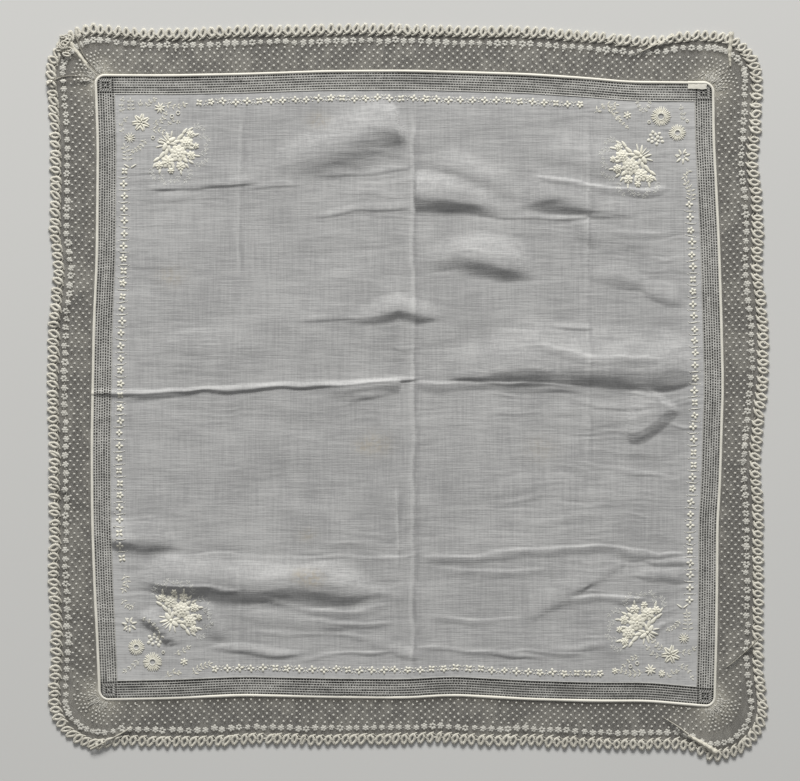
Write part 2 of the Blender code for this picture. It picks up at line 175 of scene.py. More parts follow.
# Folds that stand up: crest line, height, width to the left and to the right of the line, over how long its
# ends rise (the far end as the near one if not given), and how even the slope of its right side is.
Fold = namedtuple("Fold", "name crest height left right fade far_fade crisp", defaults=(None, 0.0))
FOLDS = named(
    Fold,
    ("middle ridge", ((-172, -1), (-133, 0), (-72, 2), (-43, 3), (-5, 6), (10, 8)), 1.1, 3.0, 1.5, 14),
    ("middle ridge start", ((-148, -1), (-130, -1), (-112, -1)), 1.1, 2.0, 4.2, 8, 14),
    ("middle lens", ((-50, 2), (-30, 3), (-14, 4.6), (-2, 5.6)), 1.6, 3.0, 10.5, 22, 4),
    ("middle line", ((18, 7.8), (32, 8.2), (48, 9.2)), 0.6, 5.0, 2.0, 10),
    ("middle hill", ((10, 10.2), (28, 11.2), (46, 11.6), (70, 11.8), (91, 11.9), (112, 11.8),
        (133, 11.2), (158, 10.2)), 3.6, 26, 10.0, 56, 24, 0.9),
    ("middle lip", ((2, 5.0), (26, 4.8), (46, 4.2), (66, 3.2), (86, 2.2), (100, 1.2)),
        0.75, 1.2, 6, 6, 18),
    ("right ridge", ((60, 24), (90, 20.6), (110, 18), (140, 17)), 0.6, 1.6, 6, 18),
    ("upright crease", ((3, -152), (3.2, -60), (3.2, 60), (3.4, 152)), 0.42, 1.3, 1.5, 20),
    ("second upright crease", ((-6.4, -48), (-5.4, -66), (-4.4, -88)), 0.7, 1.2, 1.4, 8),
    ("left upright crease", ((-88, 108), (-87, 147)), 0.4, 1.2, 1.8, 8),
    ("right upright crease", ((95, 60), (95, 140)), 0.4, 1.5, 1.2, 10),
    ("upper left crease", ((-143, 106), (-121, 105.5), (-101, 107.1), (-88, 109.7), (-72, 111.8)),
        0.6, 6, 1.1, 16),
    ("upper left thread", ((-88, 108.5), (-67, 108.7), (-51, 109.2)), 0.35, 4, 1.6, 12),
    ("upper left low", ((-150, 102), (-128, 101), (-106, 102)), 0.35, 6, 3, 16),
    ("upper hill", ((-80, 118), (-60, 121), (-45, 124.5), (-32, 129.5), (-17, 137), (-2, 141)),
        3.0, 22, 20, 48, 4),
    ("upper crest", ((-60, 112), (-30, 114), (2, 118)), 0.35, 3, 1.8, 24, 3),
    ("upper crease", ((-70, 91), (-40, 94), (2, 97)), 0.55, 5, 2.0, 40, 3),
    ("upper middle hill", ((3, 103), (17, 102.6), (33, 100.3), (48, 96.1), (66, 92.9)),
        3.3, 16, 9.4, 1.5, 50),
    ("upper middle slope", ((6, 124), (26, 117), (46, 108), (62, 98)), 1.3, 14, 9, 20),
    ("upper right hill", ((56, 96), (67, 99.8), (78, 101), (90, 98.4), (106, 94.8), (128, 92.4)),
        2.3, 22, 7.6, 20, 42),
    ("upper right slope", ((60, 128), (90, 122), (124, 119)), 1.1, 16, 14, 26),
    ("upper middle line", ((40, 93), (58, 91.8), (76, 91.8), (96, 91.6), (116, 90)), 0.5, 3.0, 1.4, 14),
    ("upper right tail", ((84, 96), (93, 86), (102, 72)), 1.2, 8, 9, 14),
    ("upper right fold", ((64, 113.5), (80, 111.6), (95, 109), (108, 106.4), (122, 105.4),
        (140, 106.4)), 0.8, 1.3, 4, 10),
    ("middle right hill", ((4, 66), (26, 70.6), (42, 69.6), (56, 66), (72, 60.6)), 3.1, 17, 12, 34, 24),
    ("right low hill", ((90, 60.5), (113, 59), (134, 54.5)), 1.0, 9, 7.5, 20),
    ("right lower hill", ((118, 57), (136, 50), (150, 44.6)), 0.8, 10, 7, 14),
    ("right upper line", ((96, 84), (124, 83), (152, 84)), 0.35, 2, 4, 20),
    ("heart fold", ((-36, 36), (-17, 39.0), (-5, 43.6), (4, 42), (22, 38)), 1.8, 11, 6.2, 26, 20),
    ("heart thread", ((-66, 37), (-42, 36), (-30, 38), (-18, 37)), 0.45, 5, 1.8, 18),
    ("left heart crease", ((-39, -9), (-24, -4), (-8, -2)), 0.5, 4, 1.8, 10),
    ("left slack", ((-140, 28), (-100, 24), (-60, 26)), 0.5, 14, 12, 30),
    ("small slant crease", ((74, 33), (100, 33)), 0.5, 3, 1.6, 6),
    ("right low crease", ((92, -39), (146, -45)), 0.4, 4, 2.2, 20),
    ("right slack", ((30, -52), (70, -50), (110, -56)), 0.4, 10, 8, 30),
    ("short slant", ((113, -19), (123, -19.4), (130, -15), (135, -10), (140.5, -4.5)),
        1.9, 26, 7.4, 5, 5, 1.0),
    ("left edge hill", ((-156, -78.8), (-133, -78.0), (-114, -82.4)), 2.1, 15, 7.5, 2, 24),
    ("lower left hill", ((-150, -98.5), (-126, -99.5), (-108, -101), (-84, -102.4), (-60, -103.4),
        (-36, -104.4), (0, -106.5)), 2.8, 18, 9.6, 32, 46),
    ("lower left band", ((-146, -92.4), (-110, -94.5), (-70, -95.6), (-30, -96), (-4, -95.6)),
        0.9, 12, 14, 26, 44),
    ("lower left crisp", ((-142, -98.6), (-122, -100.6), (-104, -102.4), (-80, -104.8)),
        0.85, 3.0, 1.6, 16),
    ("lower left crest", ((-132, -86), (-100, -87), (-70, -88), (-20, -87.6), (8, -86)),
        0.4, 1.4, 16, 20),
    ("lower right line", ((4, -88), (33, -87), (64, -82.8), (101, -81.4), (127, -83), (150, -86.4)),
        0.7, 1.3, 6, 12),
    ("lower right shadow", ((122, -88), (140, -89), (152, -90)), 0.7, 4, 4, 8),
    ("lower right thread", ((68, -110.6), (82, -110), (100, -108.4), (128, -107.2)), 0.75, 1.2, 4, 8),
    ("lower right slant", ((58, -124), (84, -108), (118, -87)), 0.85, 16, 3.4, 14),
    ("lower right dark", ((116, -95.6), (135, -97), (152, -99.6)), 0.9, 9, 4.8, 12),
    ("lower right far", ((66, -137), (100, -133), (112, -128)), 0.5, 6, 4, 18),
    ("lower left drag", ((-112, -106), (-103, -120), (-95, -134)), 1.3, 6, 7, 10),
    ("lower left stroke", ((-80, -106.6), (-73, -109.6), (-64, -113.4)), 0.8, 4, 1.8, 4),
    ("lower left pale line", ((-62, -114), (-36, -115.4), (-4, -113)), 0.6, 1.6, 5, 14),
    ("lower left second line", ((-70, -119), (-40, -120.6), (-2, -121.6)), 0.6, 1.6, 4, 16),
    ("lower left slack", ((-96, -118), (-60, -121), (-20, -123)), 0.6, 7, 7, 26),
    ("lower left streak", ((-92, -127), (-50, -127), (0, -130)), 0.35, 3, 3, 26),
    ("lowest left crease", ((-108, -135), (-82, -136.6), (-50, -138)), 0.9, 5, 3.4, 18),
    ("lowest slant", ((-26, -128), (-10, -134.4), (2, -140), (12, -142)), 0.6, 8, 5, 12),
    ("lowest bright line", ((-60, -142.5), (-41, -139.5), (-2, -135.5)), 0.5, 1.6, 3.0, 12),
    ("lowest crease", ((2, -134.6), (22, -135.6), (50, -137), (96, -137.4)), 0.5, 1.4, 3, 10),
    ("lowest dark slant", ((40, -136.4), (54, -139), (70, -141.6)), 0.6, 4, 1.4, 5),
    ("lower right wave", ((10, -94), (40, -95.4), (80, -92)), 0.45, 1.6, 5, 16),
    ("lower right low wave", ((6, -118), (36, -120), (66, -118.6)), 0.45, 1.6, 5, 14),
    ("lower short fold", ((-142, -115), (-131, -122.5), (-121, -132)), 2.2, 9, 2.6, 8),
    ("lower right short", ((126, -127), (137, -120)), 0.6, 3, 3, 4),
    ("upper left corner pleat", ((-166, 168), (-174, 177), (-183, 188)), 0.8, 3, 3, 5),
    ("upper left tuck", ((-164, 166), (-178, 165), (-192, 163)), 1.0, 3, 1.3, 5),
    ("upper right slant", ((114, 176), (128, 181), (144, 188)), 0.9, 3, 2, 6),
    ("right slant", ((163, 118), (174, 129), (185, 138)), 0.7, 3, 2, 6),
    ("lower right pleat", ((166, -145), (176, -136), (186, -128)), 1.0, 4, 1.2, 5),
    ("lower corner pleat", ((134, -170), (149, -181), (162, -190)), 1.1, 4, 2, 6),
    ("lower left pleat", ((-141, -175), (-152, -181), (-168, -188)), 1.0, 3, 2, 6),
    ("left wave", ((-166, 60), (-178, 46), (-190, 30)), 0.9, 6, 6, 8),
    ("left lower wave", ((-168, -62), (-180, -50), (-190, -36)), 0.9, 6, 6, 8),
    ("right wave", ((168, -42), (176, -30), (186, -22)), 1.0, 6, 6, 8),
)

# Upright lines where the cloth was pressed in a drawer: along each, a painted highlight on its left side and
# painted shade on its right, as a light from the side would show the crease.
Press = namedtuple("Press", "x low high strength")
PRESSES = named(
    Press,
    (3.2, -150, 150, 1.0), (-88, 60, 150, 0.45), (-88, -150, -90, 0.3), (95, -40, 148, 0.45),
    (-5, -94, -44, 0.85), (60, -150, -20, 0.15), (-45, -60, 60, 0.12),
)

# Old yellow stains of the lawn.
Stain = namedtuple("Stain", "x y radius strength")
STAINS = named(
    Stain,
    (-50, -98, 5.5, 0.55), (-57, -96, 4.0, 0.35), (-53, -75, 4.0, 0.35), (-16, -27, 7.0, 0.4),
    (-24, -29, 4.0, 0.3), (-124, 61, 6.0, 0.35), (-47, 143, 5.0, 0.35), (70, -30, 8.0, 0.2),
)

random = np.random.default_rng(1880)


def read_table(table, along):
    """The table's out value at each place along a side, eased by averaging over a short stretch."""
    places = [row.along for row in table]
    outs = [row.out for row in table]
    shifts = np.linspace(-EASING, EASING, 5)
    return sum(np.interp(along + shift, places, outs) for shift in shifts) / len(shifts)


def place(x, y):
    """Takes points of the true square to where the cloth lies: each side's points move to its own seam."""
    across = (x + SEAM_HALF) / (2 * SEAM_HALF)
    up = (y + SEAM_HALF) / (2 * SEAM_HALF)
    left, right = -read_table(SEAM_LEFT, y), read_table(SEAM_RIGHT, y)
    bottom, top = -read_table(SEAM_BOTTOM, x), read_table(SEAM_TOP, x)
    return left + (right - left) * across, bottom + (top - bottom) * up


def round_corners(x, y):
    """Rounds the seam's corners: inside each corner block a square maps to a quarter of a disc."""
    inner = SEAM_HALF - SEAM_CORNER
    p = np.clip((np.abs(x) - inner) / SEAM_CORNER, 0, 1)
    q = np.clip((np.abs(y) - inner) / SEAM_CORNER, 0, 1)
    rounded_x = np.where(p > 0, np.sign(x) * (inner + SEAM_CORNER * p * np.sqrt(1 - q * q / 2)), x)
    rounded_y = np.where(q > 0, np.sign(y) * (inner + SEAM_CORNER * q * np.sqrt(1 - p * p / 2)), y)
    return rounded_x, rounded_y


def turn_quarters(x, y, quarter):
    """Turns points clockwise by a whole number of right angles each."""
    quarter = np.asarray(quarter) % 4
    turned_x = np.select([quarter == 0, quarter == 1, quarter == 2], [x, y, -x], -y)
    turned_y = np.select([quarter == 0, quarter == 1, quarter == 2], [y, -x, -y], x)
    return turned_x, turned_y


def reach_at(quarter, along):
    """How far the edging reaches beyond the seam. Along runs clockwise, as the sides follow each other."""
    tables = (REACH_TOP, REACH_RIGHT, REACH_BOTTOM, REACH_LEFT)
    signs = (1, -1, -1, 1)
    found = np.zeros_like(along)
    for number, (table, sign) in enumerate(zip(tables, signs)):
        found = np.where(quarter % 4 == number, read_table(table, sign * along), found)
    return found


def spoke(station):
    """Where each spoke leaves the seam, and its outward vector to the loops' tips."""
    quarter = np.floor(station / LOOPS_A_QUARTER).astype(int)
    share = station / LOOPS_A_QUARTER - quarter
    on_side = share < SIDE_SHARE
    along = np.where(on_side, (2 * share / SIDE_SHARE - 1) * SEAM_HALF, SEAM_HALF)
    angle = np.where(on_side, 0, (share - SIDE_SHARE) / (1 - SIDE_SHARE) * np.pi / 2)
    inner = SEAM_HALF - SEAM_CORNER
    seam_x = np.where(on_side, along * inner / SEAM_HALF, inner + SEAM_CORNER * np.sin(angle))
    seam_y = np.where(on_side, SEAM_HALF, inner + SEAM_CORNER * np.cos(angle))
    seam = place(*turn_quarters(seam_x, seam_y, quarter))
    edge = place(*turn_quarters(along, np.full_like(along, SEAM_HALF), quarter))
    before = reach_at(quarter, along)
    after = reach_at(quarter + 1, np.full_like(along, -SEAM_HALF))
    reach = before + (after - before) * angle / (np.pi / 2)
    away = turn_quarters(reach * np.sin(angle), reach * np.cos(angle), quarter)
    return seam, (edge[0] + away[0] - seam[0], edge[1] + away[1] - seam[1])


def on_border(station, share=None, outward=None, inward=None):
    """Points on the border: at a share of the spoke, or so many millimetres from its seam or from its tip."""
    station = np.asarray(station, float) % EDGING_LOOPS
    seam, vector = spoke(station)
    length = np.hypot(*vector)
    if outward is not None:
        share = outward / length
    if inward is not None:
        share = 1 - inward / length
    return seam[0] + vector[0] * share, seam[1] + vector[1] * share


def on_lawn(quarter, along, depth):
    """Points so many millimetres inside the seam of one side, whose along runs clockwise."""
    along, depth = np.broadcast_arrays(np.asarray(along, float), np.asarray(depth, float))
    return place(*round_corners(*turn_quarters(along, SEAM_HALF - depth, quarter)))


def smooth_noise(shape, across_x, across_y):
    """Random numbers blurred by a bell curve, so wide along x and y in cells, with a spread of 1."""
    rows, columns = shape
    wave_x = np.fft.rfftfreq(columns)[None, :]
    wave_y = np.fft.fftfreq(rows)[:, None]
    bell = np.exp(-2 * np.pi**2 * ((wave_x * across_x) ** 2 + (wave_y * across_y) ** 2))
    field = np.fft.irfft2(np.fft.rfft2(random.standard_normal(shape)) * bell, s=shape)
    return field / field.std()


class Relief:
    """Heights of the cloth's folds and ripples on a square grid, read between its points.

    Folds lower than low_crease ride on the hills, and what rises less than flat_below stays flat. A crest
    line wavers up and down, its two sides' widths pass into each other over crest_turn on each side of it,
    and at its ends a fold has only end_width of its width.
    """

    half = 200.0
    cell = 0.4
    flat_below = 0.12
    low_crease = 0.95
    crest_waver = 0.8
    crest_turn = 1.5
    end_width = 0.45

    def __init__(self):
        count = int(2 * self.half / self.cell) + 1
        self.axis = np.linspace(-self.half, self.half, count)
        shape = (count, count)
        squares, creases = np.zeros(shape), np.zeros(shape)
        self.waver = 0.9 * smooth_noise(shape, 27, 12) + 0.5 * smooth_noise(shape, 10, 6)
        for fold in FOLDS:
            self.add_fold(squares, creases, fold)
        self.folds = np.maximum(np.sqrt(squares) - self.flat_below, 0) + creases
        weft = self.wavered(smooth_noise(shape, 24, 1.9), 1.6)
        fine = self.wavered(smooth_noise(shape, 11, 1.2), 1.6)
        short = self.wavered(smooth_noise(shape, 14, 2.7), 2.4)
        warp = smooth_noise(shape, 1.5, 22)
        broad = self.wavered(smooth_noise(shape, 36, 15), 3.0)
        patch = np.clip(0.6 + 0.45 * smooth_noise(shape, 50, 34), 0.15, 1.6)
        sharp = np.clip(short - 1.2, 0, 2) ** 1.5
        self.ripples = (0.034 * weft + 0.024 * fine + 0.014 * warp + 0.10 * sharp) * patch + 0.16 * broad
        # Painted light and shade for the lawn's colour, from the same weft-wise ripple fields: lighter where
        # the ripples rise.
        self.streaks = 0.5 * weft + 0.5 * fine

    def wavered(self, field, times):
        """The field with its rows bent up and down by the wavering, so that straight streaks undulate."""
        rows, columns = np.indices(field.shape)
        shifted = np.clip(rows + self.waver * times / self.cell, 0, field.shape[0] - 1.001)
        low = shifted.astype(int)
        share = shifted - low
        return field[low, columns] * (1 - share) + field[low + 1, columns] * share

    def add_fold(self, squares, creases, fold):
        """Adds a fold inside its own window: a raised cosine across its crest line that sinks at both ends.

        Hills are added by their squares, so that they merge. Of low creases the highest counts, on top of
        the hills.
        """
        crest = np.array(fold.crest, float)
        margin = max(fold.left, fold.right)
        low = np.searchsorted(self.axis, crest.min(0) - margin)
        high = np.searchsorted(self.axis, crest.max(0) + margin)
        window = (slice(low[1], high[1]), slice(low[0], high[0]))
        x, y = np.meshgrid(self.axis[window[1]], self.axis[window[0]])
        y = y + self.crest_waver * self.waver[window]
        runs = np.diff(crest, axis=0)
        lengths = np.hypot(runs[:, 0], runs[:, 1])
        starts = np.concatenate([[0], np.cumsum(lengths)])
        nearest = np.full(x.shape, np.inf)
        side = np.zeros(x.shape)
        travelled = np.zeros(x.shape)
        for (start_x, start_y), (run_x, run_y), length, start in zip(crest, runs, lengths, starts):
            off_x, off_y = x - start_x, y - start_y
            share = np.clip((off_x * run_x + off_y * run_y) / length**2, 0, 1)
            distance = np.hypot(off_x - share * run_x, off_y - share * run_y)
            closer = distance < nearest
            nearest = np.where(closer, distance, nearest)
            side = np.where(closer, (run_x * off_y - run_y * off_x) / length, side)
            travelled = np.where(closer, start + share * length, travelled)
        turn = np.clip(side / self.crest_turn, -1, 1)
        ends = np.minimum(travelled / fold.fade, (starts[-1] - travelled) / (fold.far_fade or fold.fade))
        ends = np.clip(ends, 0, 1)
        ends = ends * ends * (3 - 2 * ends)
        width = fold.right + (fold.left - fold.right) * (turn + 1) / 2
        width = width * (self.end_width + (1 - self.end_width) * ends)
        away = np.clip(nearest / width, 0, 1)
        even = np.where(side < 0, fold.crisp, 0)
        across = (1 + np.cos(np.pi * away)) / 2 * (1 - even) + (1 - away**1.5) * even
        slow, quick = random.uniform(0, 6, 2)
        uneven = 1 + 0.11 * np.sin(travelled / 7 + slow) + 0.07 * np.sin(travelled / 3.3 + quick)
        rise = fold.height * across * ends * uneven
        if fold.height < self.low_crease:
            creases[window] = np.maximum(creases[window], rise - self.flat_below)
        else:
            squares[window] += rise**2

    def read(self, field, x, y):
        """The field's value between its four nearest grid points."""
        column = np.clip((x + self.half) / self.cell, 0, len(self.axis) - 1.001)
        row = np.clip((y + self.half) / self.cell, 0, len(self.axis) - 1.001)
        left, low = column.astype(int), row.astype(int)
        across, up = column - left, row - low
        bottom = field[low, left] * (1 - across) + field[low, left + 1] * across
        top = field[low + 1, left] * (1 - across) + field[low + 1, left + 1] * across
        return bottom * (1 - up) + top * up

    def lawn(self, x, y):
        """Height of the lawn's upper side."""
        return LAWN_LIFT + self.read(self.folds, x, y) + self.read(self.ripples, x, y)

    def net(self, x, y, share):
        """Height of the net, which comes down from the seam to the surface at a share of its width."""
        lift = NET_LIFT_SEAM + (NET_LIFT_EDGE - NET_LIFT_SEAM) * np.clip(share, 0, 1)
        return lift + self.read(self.folds, x, y) + 0.6 * np.abs(self.read(self.ripples, x, y))


class Value:
    """A number of a shader. Ordinary arithmetic on it adds Math nodes."""

    def __init__(self, finish, socket):
        self.finish = finish
        self.socket = socket

    def work(self, operation, *others, first=None):
        node = self.finish.tree.nodes.new("ShaderNodeMath")
        node.operation = operation
        given = (first, self) if first is not None else (self, *others)
        for inlet, value in zip(node.inputs, given):
            self.finish.feed(inlet, value)
        return Value(self.finish, node.outputs[0])

    def __add__(self, other):
        return self.work("ADD", other)

    __radd__ = __add__

    def __mul__(self, other):
        return self.work("MULTIPLY", other)

    __rmul__ = __mul__

    def __sub__(self, other):
        return self.work("SUBTRACT", other)

    def __rsub__(self, other):
        return self.work("SUBTRACT", first=other)

    def sine(self):
        return self.work("SINE")

    def size(self):
        return self.work("ABSOLUTE")

    def least(self, other):
        return self.work("MINIMUM", other)

    def between(self, low, high):
        """0 below low, 1 above high and a smooth rise between them."""
        inputs = {"Value": self, "From Min": low, "From Max": high}
        return self.finish.add("MapRange", {"interpolation_type": "SMOOTHSTEP"}, inputs)


class Finish:
    """A material: a Principled shader and what feeds it."""

    def __init__(self, name, roughness, sheen):
        self.material = bpy.data.materials.new(name)
        self.material.use_nodes = True
        self.tree = self.material.node_tree
        self.shader = self.tree.nodes["Principled BSDF"]
        self.shader.inputs["Roughness"].default_value = roughness
        self.shader.inputs["Specular IOR Level"].default_value = 0.25
        self.shader.inputs["Sheen Weight"].default_value = sheen
        self.shader.inputs["Sheen Roughness"].default_value = 0.5

    def feed(self, inlet, value):
        if isinstance(value, Value):
            self.tree.links.new(value.socket, inlet)
        else:
            inlet.default_value = value

    def add(self, kind, settings=None, inputs=None, output=0):
        """Adds a node of a kind, sets it, then feeds its sockets, and gives back one of its outputs."""
        node = self.tree.nodes.new("ShaderNode" + kind)
        for key, value in (settings or {}).items():
            setattr(node, key, value)
        for key, value in (inputs or {}).items():
            self.feed(node.inputs[key], value)
        return Value(self, node.outputs[output])

    def place(self):
        """Object coordinates in millimetres."""
        where = self.add("TexCoord", output="Object")
        return self.add("Mapping", {}, {"Vector": where, "Scale": (1 / MM, 1 / MM, 1 / MM)})

    def lay(self):
        """The piece's own coordinates, in millimetres along and across it."""
        split = self.add("UVMap", {"uv_map": "lay"})
        return [self.add("SeparateXYZ", {}, {"Vector": split}, output=name) for name in ("X", "Y")]

    def noise(self, where, scale, detail, stretch=(1, 1, 1)):
        """Noise from 0 to 1 over millimetre coordinates, with scale in waves a millimetre."""
        stretched = self.add("Mapping", {}, {"Vector": where, "Scale": stretch})
        inputs = {"Vector": stretched, "Scale": scale, "Detail": detail}
        return self.add("TexNoise", {}, inputs, output="Fac")

    def mix(self, share, first, second):
        """A colour between two: the first where share is 0."""
        return self.add("Mix", {"data_type": "RGBA"}, {6: first, 7: second, 0: share}, output=2)

    def attribute(self, name):
        return self.add("Attribute", {"attribute_name": name}, output="Fac")

    def colour(self, value):
        self.feed(self.shader.inputs["Base Color"], value)

    def bump(self, height, distance):
        """Raises the surface by a height from 0 to 1 times a distance in millimetres."""
        normal = self.add("Bump", {}, {"Height": height, "Distance": distance * MM, "Strength": 1.0})
        self.feed(self.shader.inputs["Normal"], normal)


def rgb(red, green, blue):
    """A colour from its screen values of 0 to 255, as the linear numbers that a shader takes."""
    screen = np.array([red, green, blue]) / 255
    linear = np.where(screen <= 0.04045, screen / 12.92, ((screen + 0.055) / 1.055) ** 2.4)
    return (*linear.tolist(), 1.0)


LAWN_GREY = rgb(174, 174, 173)
LAWN_SHADE = rgb(144, 144, 144)
LAWN_STAIN = rgb(158, 142, 108)
THREAD_CREAM = rgb(230, 227, 213)
THREAD_SHADE = rgb(206, 203, 186)
THREAD_FAINT = rgb(190, 190, 186)
NET_TAUPE = rgb(131, 128, 120)
NET_DARK = rgb(101, 98, 92)
NET_GATHERED = rgb(212, 208, 194)
DRAWN_SHADE = rgb(150, 149, 145)
DRAWN_GREY = rgb(196, 195, 190)
# Painted shade: the greys of the strip under the drawn work stand for the shadow seen through its holes,
# darker in the corner blocks.
SHADE_PAINTED_IN_HOLES = rgb(84, 84, 82)
SHADE_PAINTED_IN_CORNERS = rgb(34, 34, 32)
LOOP_COTTON = (rgb(200, 197, 186), rgb(162, 158, 146))
ROLL_COTTON = (rgb(223, 220, 210), rgb(204, 201, 189))
SPOT_COTTON = (rgb(196, 194, 186), rgb(166, 164, 156))
FLOOR_SHADE = rgb(192, 192, 190)
FLOOR_GREY = rgb(196, 196, 194)


def lawn_finish():
    """Sheer plain weave: grey-white, cloudy, streaked along the weft, with old yellow stains."""
    finish = Finish("sheer_lawn", roughness=0.9, sheen=0.1)
    where = finish.place()
    cloud = finish.noise(where, 0.035, 3)
    weft = finish.noise(where, 1.0, 2, (0.07, 1.5, 1))
    warp = finish.noise(where, 1.0, 2, (1.3, 0.05, 1))
    slub = finish.noise(where, 1.0, 1, (0.5, 2.4, 1))
    # Painted light and shade along the ripples.
    streak = finish.attribute("streak")
    thread = weft * 0.5 + warp * 0.3 + slub * 0.2
    # Paler near the rim and corners, with painted highlight and shade beside the upright creases.
    lightened_and_shaded = finish.attribute("pale_rim_and_crease_light") * (finish.noise(where, 0.3, 2).between(0.3, 0.65) + 0.5)
    shade = (cloud - 0.5) * 0.8 + (thread - 0.5) * 2.5 + streak * 0.06 + lightened_and_shaded * 0.5 + 0.5
    grey = finish.mix(shade.between(0.0, 1.0), LAWN_SHADE, LAWN_GREY)
    blot = finish.attribute("stain") * finish.noise(where, 0.5, 3).between(0.25, 0.7)
    finish.colour(finish.mix(blot, grey, LAWN_STAIN))
    finish.bump(thread, 0.22)
    finish.feed(finish.shader.inputs["Alpha"], slub.between(0.0, 0.42) * 0.06 + 0.94)
    return finish.material


def drawn_finish():
    """Threads left in the drawn-work rim: as the lawn, a little greyer, with fine ribs along each rail."""
    finish = Finish("drawn_threads", roughness=0.9, sheen=0.1)
    where = finish.place()
    along, _ = finish.lay()
    rib = (along * 14.0).sine() * 0.5 + 0.5
    cloud = finish.noise(where, 0.5, 3)
    # Painted light and shade: the colour is lighter on each rib and darker between them, where the bump has
    # its grooves.
    shade = (cloud - 0.5) * 0.9 + rib * 0.25 + 0.35
    finish.colour(finish.mix(shade.between(0.0, 1.0), DRAWN_SHADE, DRAWN_GREY))
    finish.bump(rib, 0.06)
    return finish.material


def thread_finish(name, light, shade, pitch, roughness=0.7, faint=None):
    """Embroidery cotton: cream, with stitches lying side by side at a pitch, and soft cloudy wear.

    With a faint colour, thin stitches take it as far as the piece's own tone says.
    """
    finish = Finish(name, roughness=roughness, sheen=0.3)
    where = finish.place()
    along, across = finish.lay()
    stitch = (along * (2 * np.pi / pitch) + across * 1.5).sine() * 0.5 + 0.5
    cloud = finish.noise(where, 0.12, 3)
    wear = finish.noise(where, 2.2, 2)
    # Painted shade: the colour darkens between the stitches, where the bump has its grooves; cloud and wear
    # are the cotton's own tone.
    tone = stitch * 0.35 + cloud * 0.5 + wear * 0.35
    cotton = finish.mix(tone.between(0.25, 0.85), shade, light)
    finish.colour(cotton if faint is None else finish.mix(finish.attribute("tone"), faint, cotton))
    finish.bump(stitch, 0.08)
    return finish.material


def net_finish():
    """Fine net: a slanted mesh of thin threads, open between them, cloudier where it is gathered."""
    finish = Finish("spotted_net", roughness=0.95, sheen=0.05)
    where = finish.place()
    along, across = finish.lay()
    wander = (finish.noise(where, 0.9, 2) - 0.5) * 0.9
    turn = np.pi / 0.62
    one = ((along + across + wander) * turn).sine().size()
    other = ((along - across + wander) * turn).sine().size()
    thread = 1 - one.least(other).between(0.30, 0.62)
    grain = finish.noise(where, 1.6, 2)
    cloud = finish.noise(where, 0.06, 3)
    # Painted light and shade: streaks of lighter and darker colour that stand for the shading of the net's
    # small creases.
    crease = finish.noise(where, 0.25, 3, (1.0, 0.45, 1))
    tone = (grain - 0.5) + (cloud - 0.5) * 3.2 + (crease - 0.5) * 2.4 + 0.4
    pale = (finish.attribute("pale") * (grain * 0.8 + 0.6)).least(1.0)
    net = finish.mix(tone.between(0.1, 0.95), NET_DARK, NET_TAUPE)
    finish.colour(finish.mix(pale, net, NET_GATHERED))
    finish.feed(finish.shader.inputs["Alpha"], thread * 0.75 + 0.25 + pale * 0.5)
    finish.bump(thread, 0.07)
    return finish.material


def floor_finish():
    """Plain pale paper-like floor."""
    finish = Finish("pale_floor", roughness=0.95, sheen=0.0)
    cloud = finish.noise(finish.place(), 0.004, 2)
    finish.colour(finish.mix(cloud, FLOOR_SHADE, FLOOR_GREY))
    return finish.material


def make_piece(name, points, faces, uv, material, slot):
    """Makes one object from points in millimetres and faces, and lets it ride on the cloth's body.

    Faces come as arrays of point numbers, one array for each number of corners, and uv as arrays of the same
    shapes with two numbers more, or as one pair for each point.
    """
    mesh = bpy.data.meshes.new(name)
    corners = np.concatenate([group.ravel() for group in faces]).astype(np.int32)
    sizes = np.concatenate([np.full(len(group), group.shape[1]) for group in faces])
    mesh.vertices.add(len(points))
    mesh.vertices.foreach_set("co", (np.asarray(points) * MM).ravel())
    mesh.loops.add(len(corners))
    mesh.loops.foreach_set("vertex_index", corners)
    mesh.polygons.add(len(sizes))
    mesh.polygons.foreach_set("loop_start", (np.cumsum(sizes) - sizes).astype(np.int32))
    mesh.polygons.foreach_set("use_smooth", np.ones(len(sizes), bool))
    mesh.update(calc_edges=True)
    layer = mesh.uv_layers.new(name="lay")
    spread = np.concatenate([group.reshape(-1, 2) for group in uv]) if isinstance(uv, list) else uv[corners]
    layer.uv.foreach_set("vector", spread.astype(np.float32).ravel())
    mesh.materials.append(material)
    piece = bpy.data.objects.new(name, mesh)
    bpy.context.scene.collection.objects.link(piece)
    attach(piece, "root")
    return piece


def set_attribute(piece, name, values):
    piece.data.attributes.new(name, "FLOAT", "POINT").data.foreach_set("value", values.astype(np.float32))


def stacked(x, y, z):
    """Points from their three coordinates."""
    return np.stack([x, y, z], -1)


def grid(rows, columns, closed=False):
    """Faces of a grid of points numbered row by row, and each corner's row and column, unrolled if closed."""
    row, column = np.meshgrid(np.arange(rows - 1), np.arange(columns - (not closed)), indexing="ij")
    corner_row = np.stack([row, row, row + 1, row + 1], -1).reshape(-1, 4)
    corner_column = np.stack([column, column + 1, column + 1, column], -1).reshape(-1, 4)
    return corner_row * columns + corner_column % columns, corner_row, corner_column


